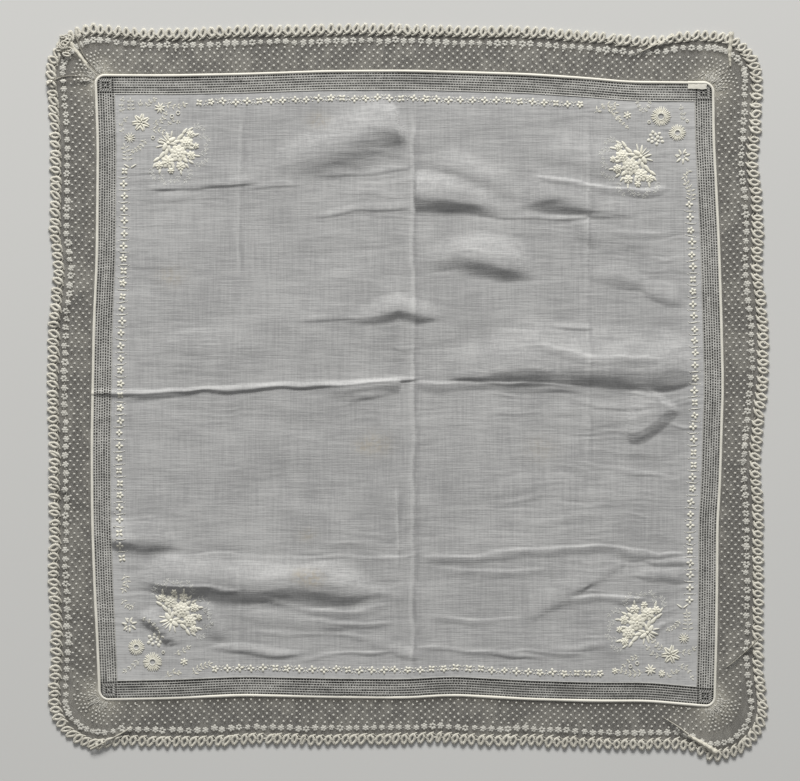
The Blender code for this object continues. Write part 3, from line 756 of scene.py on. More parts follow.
def tubes(centres, radii, sides, closed=False, flatness=1.0):
    """Threads along many paths at once.

    Centres have the shape (paths, steps, 3) and radii (paths, steps). Each path's rings stand square to it,
    with their sides counted from its right side over the top, and are as high as the flatness says. Open
    ends are capped.
    """
    paths, steps, _ = centres.shape
    if closed:
        ahead, behind = np.roll(centres, -1, 1), np.roll(centres, 1, 1)
    else:
        ahead = np.concatenate([centres[:, 1:], centres[:, -1:]], 1)
        behind = np.concatenate([centres[:, :1], centres[:, :-1]], 1)
    tangent = ahead - behind
    tangent /= np.linalg.norm(tangent, axis=2, keepdims=True) + 1e-9
    right = np.cross(tangent, (0.0, 0.0, 1.0))
    right /= np.linalg.norm(right, axis=2, keepdims=True) + 1e-9
    up = np.cross(right, tangent)
    angle = np.arange(sides) * 2 * np.pi / sides + np.pi / sides
    ring = right[:, :, None] * np.cos(angle)[:, None] + up[:, :, None] * flatness * np.sin(angle)[:, None]
    points = centres[:, :, None] + ring * radii[:, :, None, None]
    spans = steps if closed else steps - 1
    path, step, side = np.meshgrid(np.arange(paths), np.arange(spans), np.arange(sides), indexing="ij")
    corner_step = np.stack([step, step + 1, step + 1, step], -1)
    corner_side = np.stack([side, side, side + 1, side + 1], -1)
    quads = (path[..., None] * steps + corner_step % steps) * sides + corner_side % sides
    lengths = np.linalg.norm(ahead - behind, axis=2) / 2
    travelled = np.concatenate([np.zeros((paths, 1)), np.cumsum(lengths, 1)], 1)
    uv = np.stack([travelled[path[..., None], corner_step], corner_side * 0.5], -1)
    faces, spread = [quads.reshape(-1, 4)], [uv.reshape(-1, 4, 2)]
    if not closed:
        first = np.arange(paths)[:, None] * steps * sides + np.arange(sides)
        faces.append(np.concatenate([first, (first + (steps - 1) * sides)[:, ::-1]]))
        spread.append(np.zeros((2 * paths, sides, 2)))
    return points.reshape(-1, 3), faces, spread


# One worked spot, petal or leaf: its middle, the way its tip points, and its size.
Leaf = namedtuple("Leaf", "x y turn length width height tone")


def leaf_rows(*columns):
    """Rows of leaves without their tone, from columns of which some are one number for all."""
    return np.stack(np.broadcast_arrays(*columns), -1)


def mounds(leaves, ground, blunt, around=8, rings=2):
    """Padded stitches: closed mounds with a leaf's or a spot's outline.

    Each outline is an ellipse whose far end narrows by the bluntness, and the mound rises over it as a
    quarter turn of a cosine, from just under the cloth's height to the leaf's own height.
    """
    leaves = np.array(leaves, float)[:, :6]
    angle = np.arange(around) * 2 * np.pi / around
    climb = np.linspace(0, np.pi / 2, rings + 1)[:-1]
    shares = np.cos(climb * STITCH_SHOULDER)[:, None]
    local_x = np.append(shares * np.cos(angle) / 2, 0)
    local_y = np.append(shares * np.sin(angle) / 2 * (1 - blunt * np.cos(angle)), 0)
    rise = np.append(np.repeat(np.sin(climb), around), 1.0)
    x, y, turn, length, width, height = (column[:, None] for column in leaves.T)
    along, across = local_x * length, local_y * width
    plan_x = x + along * np.cos(turn) - across * np.sin(turn)
    plan_y = y + along * np.sin(turn) + across * np.cos(turn)
    z = ground(plan_x, plan_y) - STITCH_SUNK + rise * (height + STITCH_SUNK)
    count = rings * around + 1
    starts = np.arange(len(leaves))[:, None, None] * count
    ring, side = np.meshgrid(np.arange(rings - 1) * around, np.arange(around), indexing="ij")
    after = (side + 1) % around
    quads = np.stack([ring + side, ring + after, ring + around + after, ring + around + side], -1)
    side = np.arange(around)
    last = (rings - 1) * around
    tips = np.stack([last + side, last + (side + 1) % around, np.full(around, count - 1)], -1)
    faces = []
    for group in (quads, tips, side[::-1][None]):
        corners = group.shape[-1]
        faces.append((starts + group.reshape(1, -1, corners)).reshape(-1, corners))
    uv = np.stack([along, across], -1).reshape(-1, 2)
    return stacked(plan_x, plan_y, z).reshape(-1, 3), faces, [uv[group] for group in faces]


def joined(*parts):
    """Several (points, faces, uv) sets as one, with faces of the same number of corners put together."""
    points, faces, uv, count = [], {}, {}, 0
    for part_points, part_faces, part_uv in parts:
        for group, spread in zip(part_faces, part_uv):
            faces.setdefault(group.shape[1], []).append(group + count)
            uv.setdefault(group.shape[1], []).append(spread)
        points.append(part_points)
        count += len(part_points)
    sizes = sorted(faces)
    return (
        np.concatenate(points),
        [np.concatenate(faces[size]) for size in sizes],
        [np.concatenate(uv[size]) for size in sizes],
    )


# Where the lawn's grid is closer set: at the creases that run up the cloth, and over the short slanted fold.
NEAR_CREASES = (-88, -5, 3, 95)
NEAR_SLANT = (114, 146)


def lawn_sheet(relief, material):
    """The plain lawn inside the drawn-work rim: a grid that is finer up the cloth, where the ripples run."""
    half = SEAM_HALF - DRAWN_DEPTH + 0.2
    near_creases = [middle + np.arange(-1.8, 1.9, 0.6) for middle in NEAR_CREASES]
    near_slant = np.arange(*NEAR_SLANT, 1.1)
    columns = np.concatenate([np.linspace(-half, half, LAWN_COLUMNS), near_slant, *near_creases])
    columns = np.unique(np.round(columns, 1))
    rows = np.linspace(-half, half, LAWN_ROWS)
    grid_x, grid_y = (values.ravel() for values in np.meshgrid(columns, rows))
    x, y = place(grid_x, grid_y)
    points = np.column_stack([x, y, relief.lawn(x, y)])
    faces, _, _ = grid(len(rows), len(columns))
    piece = make_piece("lawn_sheet", points, [faces], np.column_stack([x, y]), material, "lawn")
    stain = np.zeros_like(x)
    for spot in STAINS:
        off_x, off_y = (x - spot.x) / spot.radius, (y - spot.y) / (0.8 * spot.radius)
        stain += spot.strength * np.exp(-(off_x**2) - off_y**2)
    set_attribute(piece, "stain", np.clip(stain, 0, 1) * 0.75)
    # Painted light and shade along the ripples, lighter where they rise.
    set_attribute(piece, "streak", relief.read(relief.streaks, x, y))
    # Paler near the rim and round the corners, and painted light and shade along the upright creases.
    from_rim = SEAM_HALF - DRAWN_DEPTH - np.maximum(np.abs(grid_x), np.abs(grid_y))
    from_corner = np.hypot(SEAM_HALF - 22 - np.abs(grid_x), SEAM_HALF - 22 - np.abs(grid_y))
    pale_rim_and_crease_light = 0.5 * np.exp(-((from_rim / 6) ** 2)) + 0.45 * np.exp(-((from_corner / 24) ** 2))
    for press in PRESSES:
        reach = np.clip((y - press.low) / 12, 0, 1) * np.clip((press.high - y) / 12, 0, 1) * press.strength
        off = x - press.x - 0.4 * relief.read(relief.waver, x, y)
        pale_rim_and_crease_light += reach * (np.exp(-((off + 0.7) ** 2)) - 0.7 * np.exp(-(((off - 1.2) / 1.2) ** 2)))
    set_attribute(piece, "pale_rim_and_crease_light", pale_rim_and_crease_light)
    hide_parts("lawn_panel")
    return piece


def drawn_cells(relief, corner_points, hole_share, slanted):
    """Square frames of cloth round the holes between drawn threads.

    Corner points have the shape (cells, 4, 2). A hole's corner lies on the line from the cell's middle to its
    corner, at the cell's own share of it. Slanted cells have a thread across the hole.
    """
    middle = corner_points.mean(1, keepdims=True)
    from_middle = corner_points - middle
    along = (from_middle[:, 1:2] - from_middle[:, 0:1]) / 2
    across = (from_middle[:, 3:4] - from_middle[:, 0:1]) / 2
    signs = np.array([(-1, -1), (1, -1), (1, 1), (-1, 1)])
    holes = middle + along * signs[:, :1] * hole_share[:, :1, None]
    holes = holes + across * signs[:, 1:] * hole_share[:, 1:, None]
    outer_z = relief.lawn(corner_points[..., 0], corner_points[..., 1]) + RAIL_RAISED
    inner_z = relief.lawn(holes[..., 0], holes[..., 1])
    points = np.concatenate([np.dstack([corner_points, outer_z]), np.dstack([holes, inner_z])], 1)
    cells = np.arange(len(points))[:, None, None] * 8
    side = np.arange(4)
    frame_faces = np.stack([side + 4, (side + 1) % 4 + 4, (side + 1) % 4, side], -1)
    faces = (cells + frame_faces).reshape(-1, 4)
    flat = points.reshape(-1, 3)
    if slanted.any():
        one, other = holes[slanted][:, 0], holes[slanted][:, 2]
        step = (holes[slanted][:, 1] - one) * SLASH_SHARE
        rise = (holes[slanted][:, 3] - one) * SLASH_SHARE
        strip = np.stack([one + rise, other - step, other - rise, one + step], 1)
        strip_z = relief.lawn(strip[..., 0], strip[..., 1])
        strips = len(flat) + np.arange(len(strip) * 4).reshape(-1, 4)
        flat = np.concatenate([flat, np.dstack([strip, strip_z]).reshape(-1, 3)])
        faces = np.concatenate([faces, strips])
    return flat, [faces], [flat[faces][..., :2]]


# How much of each cell the hole takes, along and across the rim, on the upper, right, lower and left side,
# then in the corner blocks for cells with and without a thread across the hole, and the limits of it.
DRAWN_OPENING = ((0.83, 0.56), (0.72, 0.57), (0.86, 0.62), (0.72, 0.59))
CORNER_OPENING = (0.94, 0.83)
OPENING_LIMITS = (0.3, 0.94)

# How much of its hole the thread across it takes, and how far the threads between the holes stand up.
SLASH_SHARE = 0.36
RAIL_RAISED = 0.03


def drawn_work_rim(relief, material):
    """The drawn-thread rim: seven rows of small holes along each side, an openwork block at each corner."""
    parts = []
    side_half = SEAM_HALF - DRAWN_DEPTH
    rails = FIRST_RAIL + (DRAWN_DEPTH - FIRST_RAIL) / DRAWN_ROWS * np.arange(DRAWN_ROWS + 1)[:, None]
    stations = np.linspace(-side_half, side_half, DRAWN_COLUMNS + 1)
    block = np.linspace(side_half, SEAM_HALF - FIRST_RAIL, DRAWN_ROWS + 1)
    ring = np.maximum(*np.abs(np.indices((DRAWN_ROWS, DRAWN_ROWS)) - DRAWN_ROWS // 2))
    step = stations[1] - stations[0]
    for quarter, opening in enumerate(DRAWN_OPENING):
        for along, in_corner in ((stations, False), (block, True)):
            shape = (DRAWN_ROWS, len(along) - 1)
            shift = np.zeros((DRAWN_ROWS, len(along)))
            if not in_corner:
                shift[:, 1:-1] = 0.3 * step * smooth_noise((DRAWN_ROWS, len(along) - 2), 4, 0.3)
            upper = np.dstack(on_lawn(quarter, along + shift, rails[:-1]))
            lower = np.dstack(on_lawn(quarter, along + shift, rails[1:]))
            cells = np.stack([upper[:, :-1], upper[:, 1:], lower[:, 1:], lower[:, :-1]], 2)
            drift = 0.06 * smooth_noise(shape, 3, 0.4)[..., None]
            share = np.array(opening) + drift + random.normal(0, 0.05, (*shape, 2))
            slanted = np.zeros(shape, bool)
            if in_corner:
                slanted = ring % 2 == 0
                share = np.where(slanted[..., None], *CORNER_OPENING) * np.ones(2)
            share = np.clip(share, *OPENING_LIMITS).reshape(-1, 2)
            parts.append(drawn_cells(relief, cells.reshape(-1, 4, 2), share, slanted.ravel()))
    around = np.linspace(0, 4, RIM_EDGE_STEPS, endpoint=False)
    inside = side_half - 0.15
    x, y = place(*turn_quarters((2 * (around % 1) - 1) * inside, inside + 0 * around, around.astype(int)))
    edge = stacked(x, y, relief.lawn(x, y) + 0.1)[None]
    parts.append(tubes(edge, np.full((1, RIM_EDGE_STEPS), RIM_EDGE_RADIUS), 5, closed=True))
    piece = make_piece("drawn_work_rim", *joined(*parts), material, "lawn")
    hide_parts("lawn_panel")
    return piece


def drawn_work_shade(relief, material):
    """A closed dark strip low under the rim, seen only through its holes: painted shade that stands for the
    shadowed depth under the drawn threads.
    """
    station = np.linspace(0, 4, 4 * SHADE_STEPS_A_SIDE, endpoint=False)
    quarter = np.floor(station).astype(int)
    depths = np.linspace(0.3, DRAWN_DEPTH - 0.3, 4)[:, None]
    x, y = on_lawn(quarter, (2 * (station - quarter) - 1) * (SEAM_HALF - depths), depths)
    faces, _, _ = grid(*x.shape, closed=True)
    points = stacked(x, y, 0.12 + relief.read(relief.folds, x, y)).reshape(-1, 3)
    piece = make_piece("drawn_work_shade", points, [faces[:, ::-1]], points[:, :2], material, "lawn")
    # Marks the corner blocks, where the painted shade is darker.
    in_corner = np.minimum(np.abs(points[:, 0]), np.abs(points[:, 1])) > SEAM_HALF - DRAWN_DEPTH - 1
    set_attribute(piece, "corner_shade", in_corner.astype(float))
    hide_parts("lawn_panel")
    return piece


def seam_roll(relief, material):
    """The whipped roll along the seam: a closed tube whose radius swells between the whipping stitches."""
    step = np.arange(ROLL_STEPS)
    station = step * EDGING_LOOPS / ROLL_STEPS
    x, y = on_border(station, share=0.0)
    swell = np.sin(station / EDGING_LOOPS * 2 * np.pi * WHIPPING_STITCHES)
    knots = np.arange(0, ROLL_STEPS + 1, 40)
    wander = np.interp(step, knots, random.normal(0, 0.05, len(knots)))
    sewn_over = (np.abs(x - TAPE_PLACE[0]) < TAPE_CUT[1] / MM / 2) & (y > TAPE_PLACE[1])
    radius = CORD_RADIUS * (1 + 0.008 * swell + wander + 0.22 * sewn_over)
    z = relief.read(relief.folds, x, y) + CORD_RADIUS * ROLL_FLATNESS + 0.2
    roll = tubes(stacked(x, y, z)[None], radius[None], 8, closed=True, flatness=ROLL_FLATNESS)
    piece = make_piece("seam_roll", *roll, material, "cord")
    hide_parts("seam_cord")
    return piece


def gather_lift(station, share):
    """How far the gathers at the corners lift the net, in waves, at a share of its width."""
    share = np.clip(share, 0, 1)
    off_corner = station / LOOPS_A_QUARTER % 1 - (1 + SIDE_SHARE) / 2
    waves = (1 - share) ** 0.6 * share**0.5 * np.sin(station * 2 * np.pi * 1.7)
    return np.exp(-((off_corner / 0.055) ** 2)) * (0.25 + 0.55 * waves)


def net_sheet(relief, material):
    """The net: a closed strip from under the seam roll to behind the loops, gathered at the corners."""
    station = np.arange(NET_COLUMNS) * EDGING_LOOPS / NET_COLUMNS
    shares = np.linspace(0, 1, NET_ROWS)[:, None]
    seam_x, seam_y = on_border(station, outward=0.2)
    edge_x, edge_y = on_border(station, inward=NET_END)
    x = seam_x + (edge_x - seam_x) * shares
    y = seam_y + (edge_y - seam_y) * shares
    points = stacked(x, y, relief.net(x, y, shares) + gather_lift(station, shares)).reshape(-1, 3)
    faces, row, column = grid(*x.shape, closed=True)
    along = np.arange(NET_COLUMNS + 1) * EDGING_LOOPS / NET_COLUMNS * LOOP_PITCH
    depth = np.hypot(x - seam_x, y - seam_y)
    depth = np.concatenate([depth, depth[:, :1]], 1)
    uv = np.stack([along[column], depth[row, column]], -1)
    piece = make_piece("net_sheet", points, [faces], [uv], material, "net")
    set_attribute(piece, "pale", paleness(x, y).ravel())
    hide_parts("net_border")
    return piece


def paleness(x, y):
    """How white the gathered net looks: most at the seam's corners, where many layers lie on each other."""
    corner_x, corner_y = place(np.sign(x) * (SEAM_HALF - 1), np.sign(y) * (SEAM_HALF - 1))
    away = np.hypot(x - corner_x, y - corner_y)
    return 0.68 * np.exp(-((away / 8.0) ** 2)) + 0.14 * np.exp(-((away / 18.0) ** 2))


def gather_threads(relief, material):
    """Fine raised creases of the gathers at the corners: short threads that fan out from the seam."""
    corner = np.repeat(np.arange(4), GATHERS_A_CORNER)
    count = len(corner)
    middle = (corner + (1 + SIDE_SHARE) / 2) * LOOPS_A_QUARTER
    station = middle + random.normal(0, 1.0, count) * 3.4
    start = random.uniform(0.9, 3.0, count)
    length = random.uniform(2.0, 8.5, count) * np.exp(-np.abs(station - middle) / 9)
    steps = np.linspace(0, 1, 9)
    outward = start[:, None] + length[:, None] * steps
    sway = np.sin(steps * random.uniform(4, 9, (count, 1)) + random.uniform(0, 6, (count, 1)))
    x, y = on_border((station[:, None] + 0.22 * sway).ravel(), outward=outward.ravel())
    x, y = x.reshape(outward.shape), y.reshape(outward.shape)
    z = relief.net(x, y, 0.3) + 0.1 + gather_lift(station[:, None], outward / 22)
    radius = random.uniform(0.10, 0.24, (count, 1)) * np.sin(np.pi * (0.12 + 0.76 * steps))
    return make_piece("gather_threads", *tubes(stacked(x, y, z), radius, 5), material, "net")


def net_spots(relief, material):
    """Worked spots of the net: seven staggered rows, one spot to each loop of the edging."""
    leaves, lifts = [], []
    count = EDGING_LOOPS
    for row, outward in enumerate(DOT_ROWS):
        station = np.arange(count) + 0.5 * (row % 2) + random.normal(0, 0.035, count)
        x, y = on_border(station, outward=outward + random.normal(0, 0.14, count))
        out_x, out_y = on_border(station, outward=outward + 1.0)
        turn = np.arctan2(out_y - y, out_x - x) + random.normal(0, 0.2, count)
        sizes = [random.normal(size, spread, count) for size, spread in zip(SPOT, (0.13, 0.09, 0.03))]
        leaves.append(leaf_rows(x, y, turn, *sizes))
        net_width = np.hypot(*spoke(station % count)[1]) - NET_END
        lifts.append(gather_lift(station, (outward - 0.2) / net_width))
    lift = np.concatenate(lifts)[:, None]
    ground = lambda x, y: relief.net(x, y, 0.4) + lift
    spots = mounds(np.concatenate(leaves), ground, blunt=0.0, around=7)
    return make_piece("net_spots", *spots, material, "net")


def star_chain(relief, material):
    """The chain of small star flowers: six petals each, some open in the middle, joined by short bars."""
    leaves = []
    count = EDGING_LOOPS
    station = np.arange(count) + 0.15 + random.normal(0, 0.05, count)
    inward = STAR_DEPTH + random.normal(0, 0.25, count)
    x, y = on_border(station, inward=inward)
    out_x, out_y = on_border(station, inward=inward - 1)
    facing = np.arctan2(out_y - y, out_x - x) + random.normal(0, 0.16, count)
    size = random.normal(0.98, 0.07, count)
    hollow = random.random(count) < 0.25
    heart = np.where(hollow, 1.15, 1.02)
    for petal in range(6):
        turn = facing + petal * np.pi / 3 + random.normal(0, 0.09, count)
        far = heart * size * random.normal(1.0, 0.05, count)
        length = random.normal(STAR_PETAL[0], 0.14, count) * size
        width = random.normal(STAR_PETAL[1], 0.1, count) * size
        at = (x + far * np.cos(turn), y + far * np.sin(turn))
        leaves.append(leaf_rows(*at, turn, length, width, STAR_PETAL[2]))
    leaves.append(leaf_rows(x, y, facing, *STAR_DISC)[~hollow])
    bar_x, bar_y = on_border(station + 0.5, inward=inward)
    bar = random.random(count) < 0.8
    leaves.append(leaf_rows(bar_x, bar_y, facing + np.pi / 2, *STAR_BAR)[bar])
    lift = gather_lift(station, 1 - (inward - NET_END) / 19)
    lift = np.concatenate([np.tile(lift, 6), lift[~hollow], lift[bar]])[:, None]
    ground = lambda x, y: relief.net(x, y, 0.7) + lift
    return make_piece("star_chain", *mounds(np.concatenate(leaves), ground, blunt=0.0), material, "net")


# One loop's thread: across runs clockwise and outward towards the tip, both from the loop's middle.
Bend = namedtuple("Bend", "across outward lift")
LOOP_THREAD = named(
    Bend,
    (-1.7, -3.3, 0.0), (-0.6, -2.75, 0.1), (0.62, -2.05, 0.4), (1.26, -1.1, 0.25), (1.34, 0.0, 0.1),
    (0.86, 1.35, 0.0), (0.0, 2.32, 0.0), (-0.86, 1.35, 0.0), (-1.36, 0.0, 0.1), (-1.18, -1.1, 0.2),
    (-0.45, -1.95, 0.1), (0.5, -2.4, 0.0), (0.95, -2.6, 0.0),
)


def smooth_path(bends, steps):
    """Even steps along a curve through the given places, each stretch a cubic set by its neighbours."""
    knots = np.array(bends, float)
    padded = np.concatenate([2 * knots[:1] - knots[1:2], knots, 2 * knots[-1:] - knots[-2:-1]])
    position = np.linspace(0, len(knots) - 1, steps)
    start = np.clip(position.astype(int), 0, len(knots) - 2)
    t = (position - start)[:, None]
    p0, p1, p2, p3 = (padded[start + offset] for offset in range(4))
    square, cube = 2 * p0 - 5 * p1 + 4 * p2 - p3, 3 * p1 - p0 - 3 * p2 + p3
    return 0.5 * (2 * p1 + (p2 - p0) * t + square * t**2 + cube * t**3)


def loop_threads(relief, material):
    """The edging: a thread for each loop, up one side, round its tip and down the other, and its link."""
    path = smooth_path(LOOP_THREAD, LOOP_STEPS)
    count = EDGING_LOOPS
    station = np.arange(count) + 0.5 + random.normal(0, 0.05, count)
    size = random.normal(1.0, 0.045, count)
    slim = random.normal(1.0, 0.09, count)
    lean = random.normal(0.21, 0.13, count)
    twisted = random.random(count) < 0.03
    slim = np.where(twisted, 0.6, slim)
    centre_inward = LOOP_LENGTH / 2 - 0.1 + random.normal(0, 0.16, count)
    x0, y0 = on_border(station, inward=centre_inward)
    x1, y1 = on_border(station, inward=centre_inward - 1)
    out = np.stack([x1 - x0, y1 - y0], -1)
    clockwise = np.stack([out[:, 1], -out[:, 0]], -1)

    def spread(across, outward):
        """Plan points of all loops, from places inside one loop."""
        outward = outward * size[:, None]
        across = across * (slim * size)[:, None] + outward * np.tan(lean)[:, None]
        x = x0[:, None] + across * clockwise[:, :1] + outward * out[:, :1]
        return x, y0[:, None] + across * clockwise[:, 1:] + outward * out[:, 1:]

    x, y = spread(path[:, 0], path[:, 1])
    bead = 1 + 0.12 * np.cos(np.pi * np.arange(LOOP_STEPS)) + random.normal(0, 0.07, (count, LOOP_STEPS))
    radius = LOOP_RADIUS * bead * random.normal(1, 0.05, count)[:, None]
    radius[:, :5] *= np.array([0.4, 0.5, 0.6, 0.75, 0.9])
    radius[:, -4:] *= np.array([0.9, 0.75, 0.6, 0.45])
    z = relief.read(relief.folds, x, y) + LOOP_RADIUS * LOOP_FLATNESS + 0.1 + path[:, 2] * 0.9
    loops = tubes(stacked(x, y, z), radius, 6, flatness=LOOP_FLATNESS)
    share = np.array([0.0, 0.5, 1.0])
    link_x, link_y = spread(np.full(3, 1.45), np.full(3, -0.5))
    next_x, next_y = spread(np.full(3, -1.45), np.full(3, -0.3))
    link_x = link_x + (np.roll(next_x, -1, 0) - link_x) * share
    link_y = link_y + (np.roll(next_y, -1, 0) - link_y) * share
    link_z = relief.read(relief.folds, link_x, link_y) + LOOP_RADIUS * LOOP_FLATNESS
    links = tubes(stacked(link_x, link_y, link_z), np.tile(LINK_RADII, (count, 1)), 6)
    piece = make_piece("loop_threads", *joined(loops, links), material, "edging")
    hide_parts("loop_edging")
    return piece


def heading_thread(relief, material):
    """The fine thread that holds the loops' feet on the net."""
    station = np.arange(HEADING_STEPS) * EDGING_LOOPS / HEADING_STEPS
    x, y = on_border(station, inward=HEADING_DEPTH + 0.55 * np.sin(station * 2 * np.pi))
    centres = stacked(x, y, relief.net(x, y, 1.0) + 0.1)[None]
    thread = tubes(centres, np.full((1, HEADING_STEPS), HEADING_RADIUS), 5, closed=True)
    return make_piece("heading_thread", *thread, material, "edging")


def bloom(x, y, radius, petals, turn, width=1.0, inner=0.25, height=0.4, slit=0.0, tone=1.0):
    """Petals round a centre, from an inner share of the radius to the rim, halved if they have a slit."""
    length = radius * (1 - inner)
    middle = radius * (1 + inner) / 2
    leaves = []
    for angle in turn + np.arange(petals) * 2 * np.pi / petals:
        far = middle * random.normal(1, 0.04)
        for side in (-1, 1) if slit else (0,):
            px = x + far * np.cos(angle) - side * slit * np.sin(angle)
            py = y + far * np.sin(angle) + side * slit * np.cos(angle)
            leaves.append(Leaf(px, py, angle - side * 0.12, length * 1.08, width, height, tone))
    return leaves


def sprig(points, pairs, length, spread, tone, width=0.7, height=0.22):
    """Pairs of leaves along a bent stem, smaller towards the tip, with a single leaf at the end."""
    steps = 6 * pairs + 1
    path = smooth_path(points, steps)
    run = np.gradient(path, axis=0)
    heading = np.arctan2(run[:, 1], run[:, 0])
    leaves = []
    for start in range(0, steps - 3, 3):
        middle = (path[start] + path[start + 3]) / 2
        stretch = np.hypot(*(path[start + 3] - path[start])) * 1.15
        leaves.append(Leaf(*middle, heading[start + 1], stretch, 0.3, height * 0.6, tone * 0.8))
    for number in range(pairs):
        step = 6 * number + 3
        reach = length * (1.05 - 0.35 * number / pairs) * random.normal(1, 0.06)
        for side in (-1, 1):
            for apart in (-0.3, 0.3):
                turn = heading[step] + side * (spread + random.normal(0, 0.08)) - apart * 0.4
                x = path[step, 0] + np.cos(turn) * reach * 0.62 - np.sin(turn) * apart
                y = path[step, 1] + np.sin(turn) * reach * 0.62 + np.cos(turn) * apart
                leaves.append(Leaf(x, y, turn, reach, width * 0.62, height, tone))
    x, y = path[-1] + 0.3 * length * np.array([np.cos(heading[-1]), np.sin(heading[-1])])
    leaves.append(Leaf(x, y, heading[-1], length * 0.8, width, height, tone))
    return leaves


GOLDEN_ANGLE = 2.39996


def berries(x, y, spread_x, spread_y, count, radius):
    """Round padded berries in a loose cluster, set by a sunflower's spiral so that they hardly overlap."""
    number = np.arange(count)
    angle = number * GOLDEN_ANGLE + x
    far = np.sqrt((number + 0.5) / count)
    size = 2 * radius * random.normal(1, 0.08, count)
    return [
        Leaf(x + spread_x * f * np.cos(a), y + spread_y * f * np.sin(a), a, s, s * 0.92, 0.4, 0.7)
        for a, f, s in zip(angle, far, size)
    ]


def daisy(x, y, radius, open_radius):
    """A round daisy: short close rays round an open centre, in an inner and an outer circle."""
    leaves = []
    rays = int(radius * 5.4)
    for number in range(rays):
        angle = number * 2 * np.pi / rays + random.normal(0, 0.03)
        outer = radius * random.normal(1, 0.03)
        for near, far, width in ((open_radius, outer, 0.8), (open_radius, (open_radius + outer) / 2, 0.7)):
            middle = (near + far) / 2
            at = (x + middle * np.cos(angle), y + middle * np.sin(angle))
            leaves.append(Leaf(*at, angle, far - near, width, 0.42, 1.0))
    return leaves


def tuft(x, y, radius):
    """A tuft of broad leaves that stand away from a middle, with small berries between them."""
    fronds = bloom(x, y, radius, 7, 0.3, 1.25, 0.3, 0.4, tone=0.85)
    return fronds + berries(x, y, radius * 0.8, radius * 0.8, 6, 0.6)


def posy(x, y, turn):
    """A tied posy: full roses, small blossoms and leaves over a bow, with faint sprays beyond."""
    parts = []
    for rose in POSY_ROSES:
        for side in (-1, 1) if rose.x else (1,):
            at = (side * rose.x, rose.y)
            size = rose.radius
            parts += bloom(*at, size, rose.petals, 0.3 * side, size * 0.72, 0.2, 0.42)
            parts += bloom(*at, size * 0.62, rose.petals - 2, 0.7 * side, size * 0.5, 0.1, 0.66)
            parts.append(Leaf(*at, 0.4, size * 0.4, size * 0.36, 0.85, 1.0))
    for row in POSY_LEAVES:
        for side in (-1, 1) if row.x else (1,):
            parts.append(row._replace(x=side * row.x, turn=np.pi / 2 - side * row.turn))
    c, s = np.cos(turn), np.sin(turn)
    leaves = [
        leaf._replace(x=x + leaf.x * c - leaf.y * s, y=y + leaf.x * s + leaf.y * c, turn=leaf.turn + turn)
        for leaf in parts
    ]
    for spray in POSY_SPRAYS:
        for side in (-1, 1):
            stem = [(x + side * u * c - v * s, y + side * u * s + v * c) for u, v in spray]
            leaves += sprig(stem, 4, 1.9, 0.8, tone=0.1, width=0.55, height=0.1)
    return leaves


# The posy's right half: its roses, then its leaves, bow and stems with turns measured from its upward axis.
Rose = namedtuple("Rose", "x y radius petals")
POSY_ROSES = named(
    Rose,
    (0, 1.6, 4.7, 9), (7.0, 0.8, 3.7, 8), (3.9, 7.2, 2.6, 7), (11.6, -1.0, 2.3, 7), (9.2, 5.4, 1.8, 6),
)
POSY_LEAVES = named(
    Leaf,
    (1.6, -3.6, 0.5, 4.4, 1.9, 0.4, 0.9), (4.0, -3.2, 1.0, 4.8, 2.0, 0.4, 0.95),
    (7.0, -3.8, 1.5, 5.2, 2.0, 0.4, 0.9), (10.6, -4.2, 1.75, 4.4, 1.7, 0.4, 0.85),
    (13.4, -2.8, 1.4, 3.6, 1.4, 0.35, 0.8), (13.6, 1.4, 1.0, 3.6, 1.4, 0.35, 0.8),
    (6.8, 4.6, 0.6, 3.4, 1.7, 0.4, 0.9), (0.0, 6.8, 0.0, 3.6, 2.2, 0.45, 0.95),
    (1.5, 9.6, 0.2, 3.4, 1.4, 0.4, 0.85), (6.2, 9.8, 0.7, 3.0, 1.2, 0.35, 0.8),
    (0.0, -6.0, 0.0, 2.0, 1.9, 0.75, 1.0), (2.7, -5.8, 1.35, 4.8, 2.6, 0.55, 1.0),
    (2.3, -8.8, 2.6, 5.0, 1.4, 0.4, 0.95), (0.7, -9.0, 2.95, 5.4, 0.8, 0.35, 0.85),
    (4.6, -8.0, 2.2, 4.2, 1.0, 0.35, 0.85),
)
POSY_SPRAYS = (
    ((1.6, 10.8), (3.6, 14.0), (8.0, 14.6)), ((7.4, 9.4), (10.6, 11.2), (13.4, 8.8)),
    ((12.8, 2.6), (15.8, 4.6), (16.2, 8.0)), ((14.6, -2.4), (17.4, -1.2), (18.2, 2.0)),
)

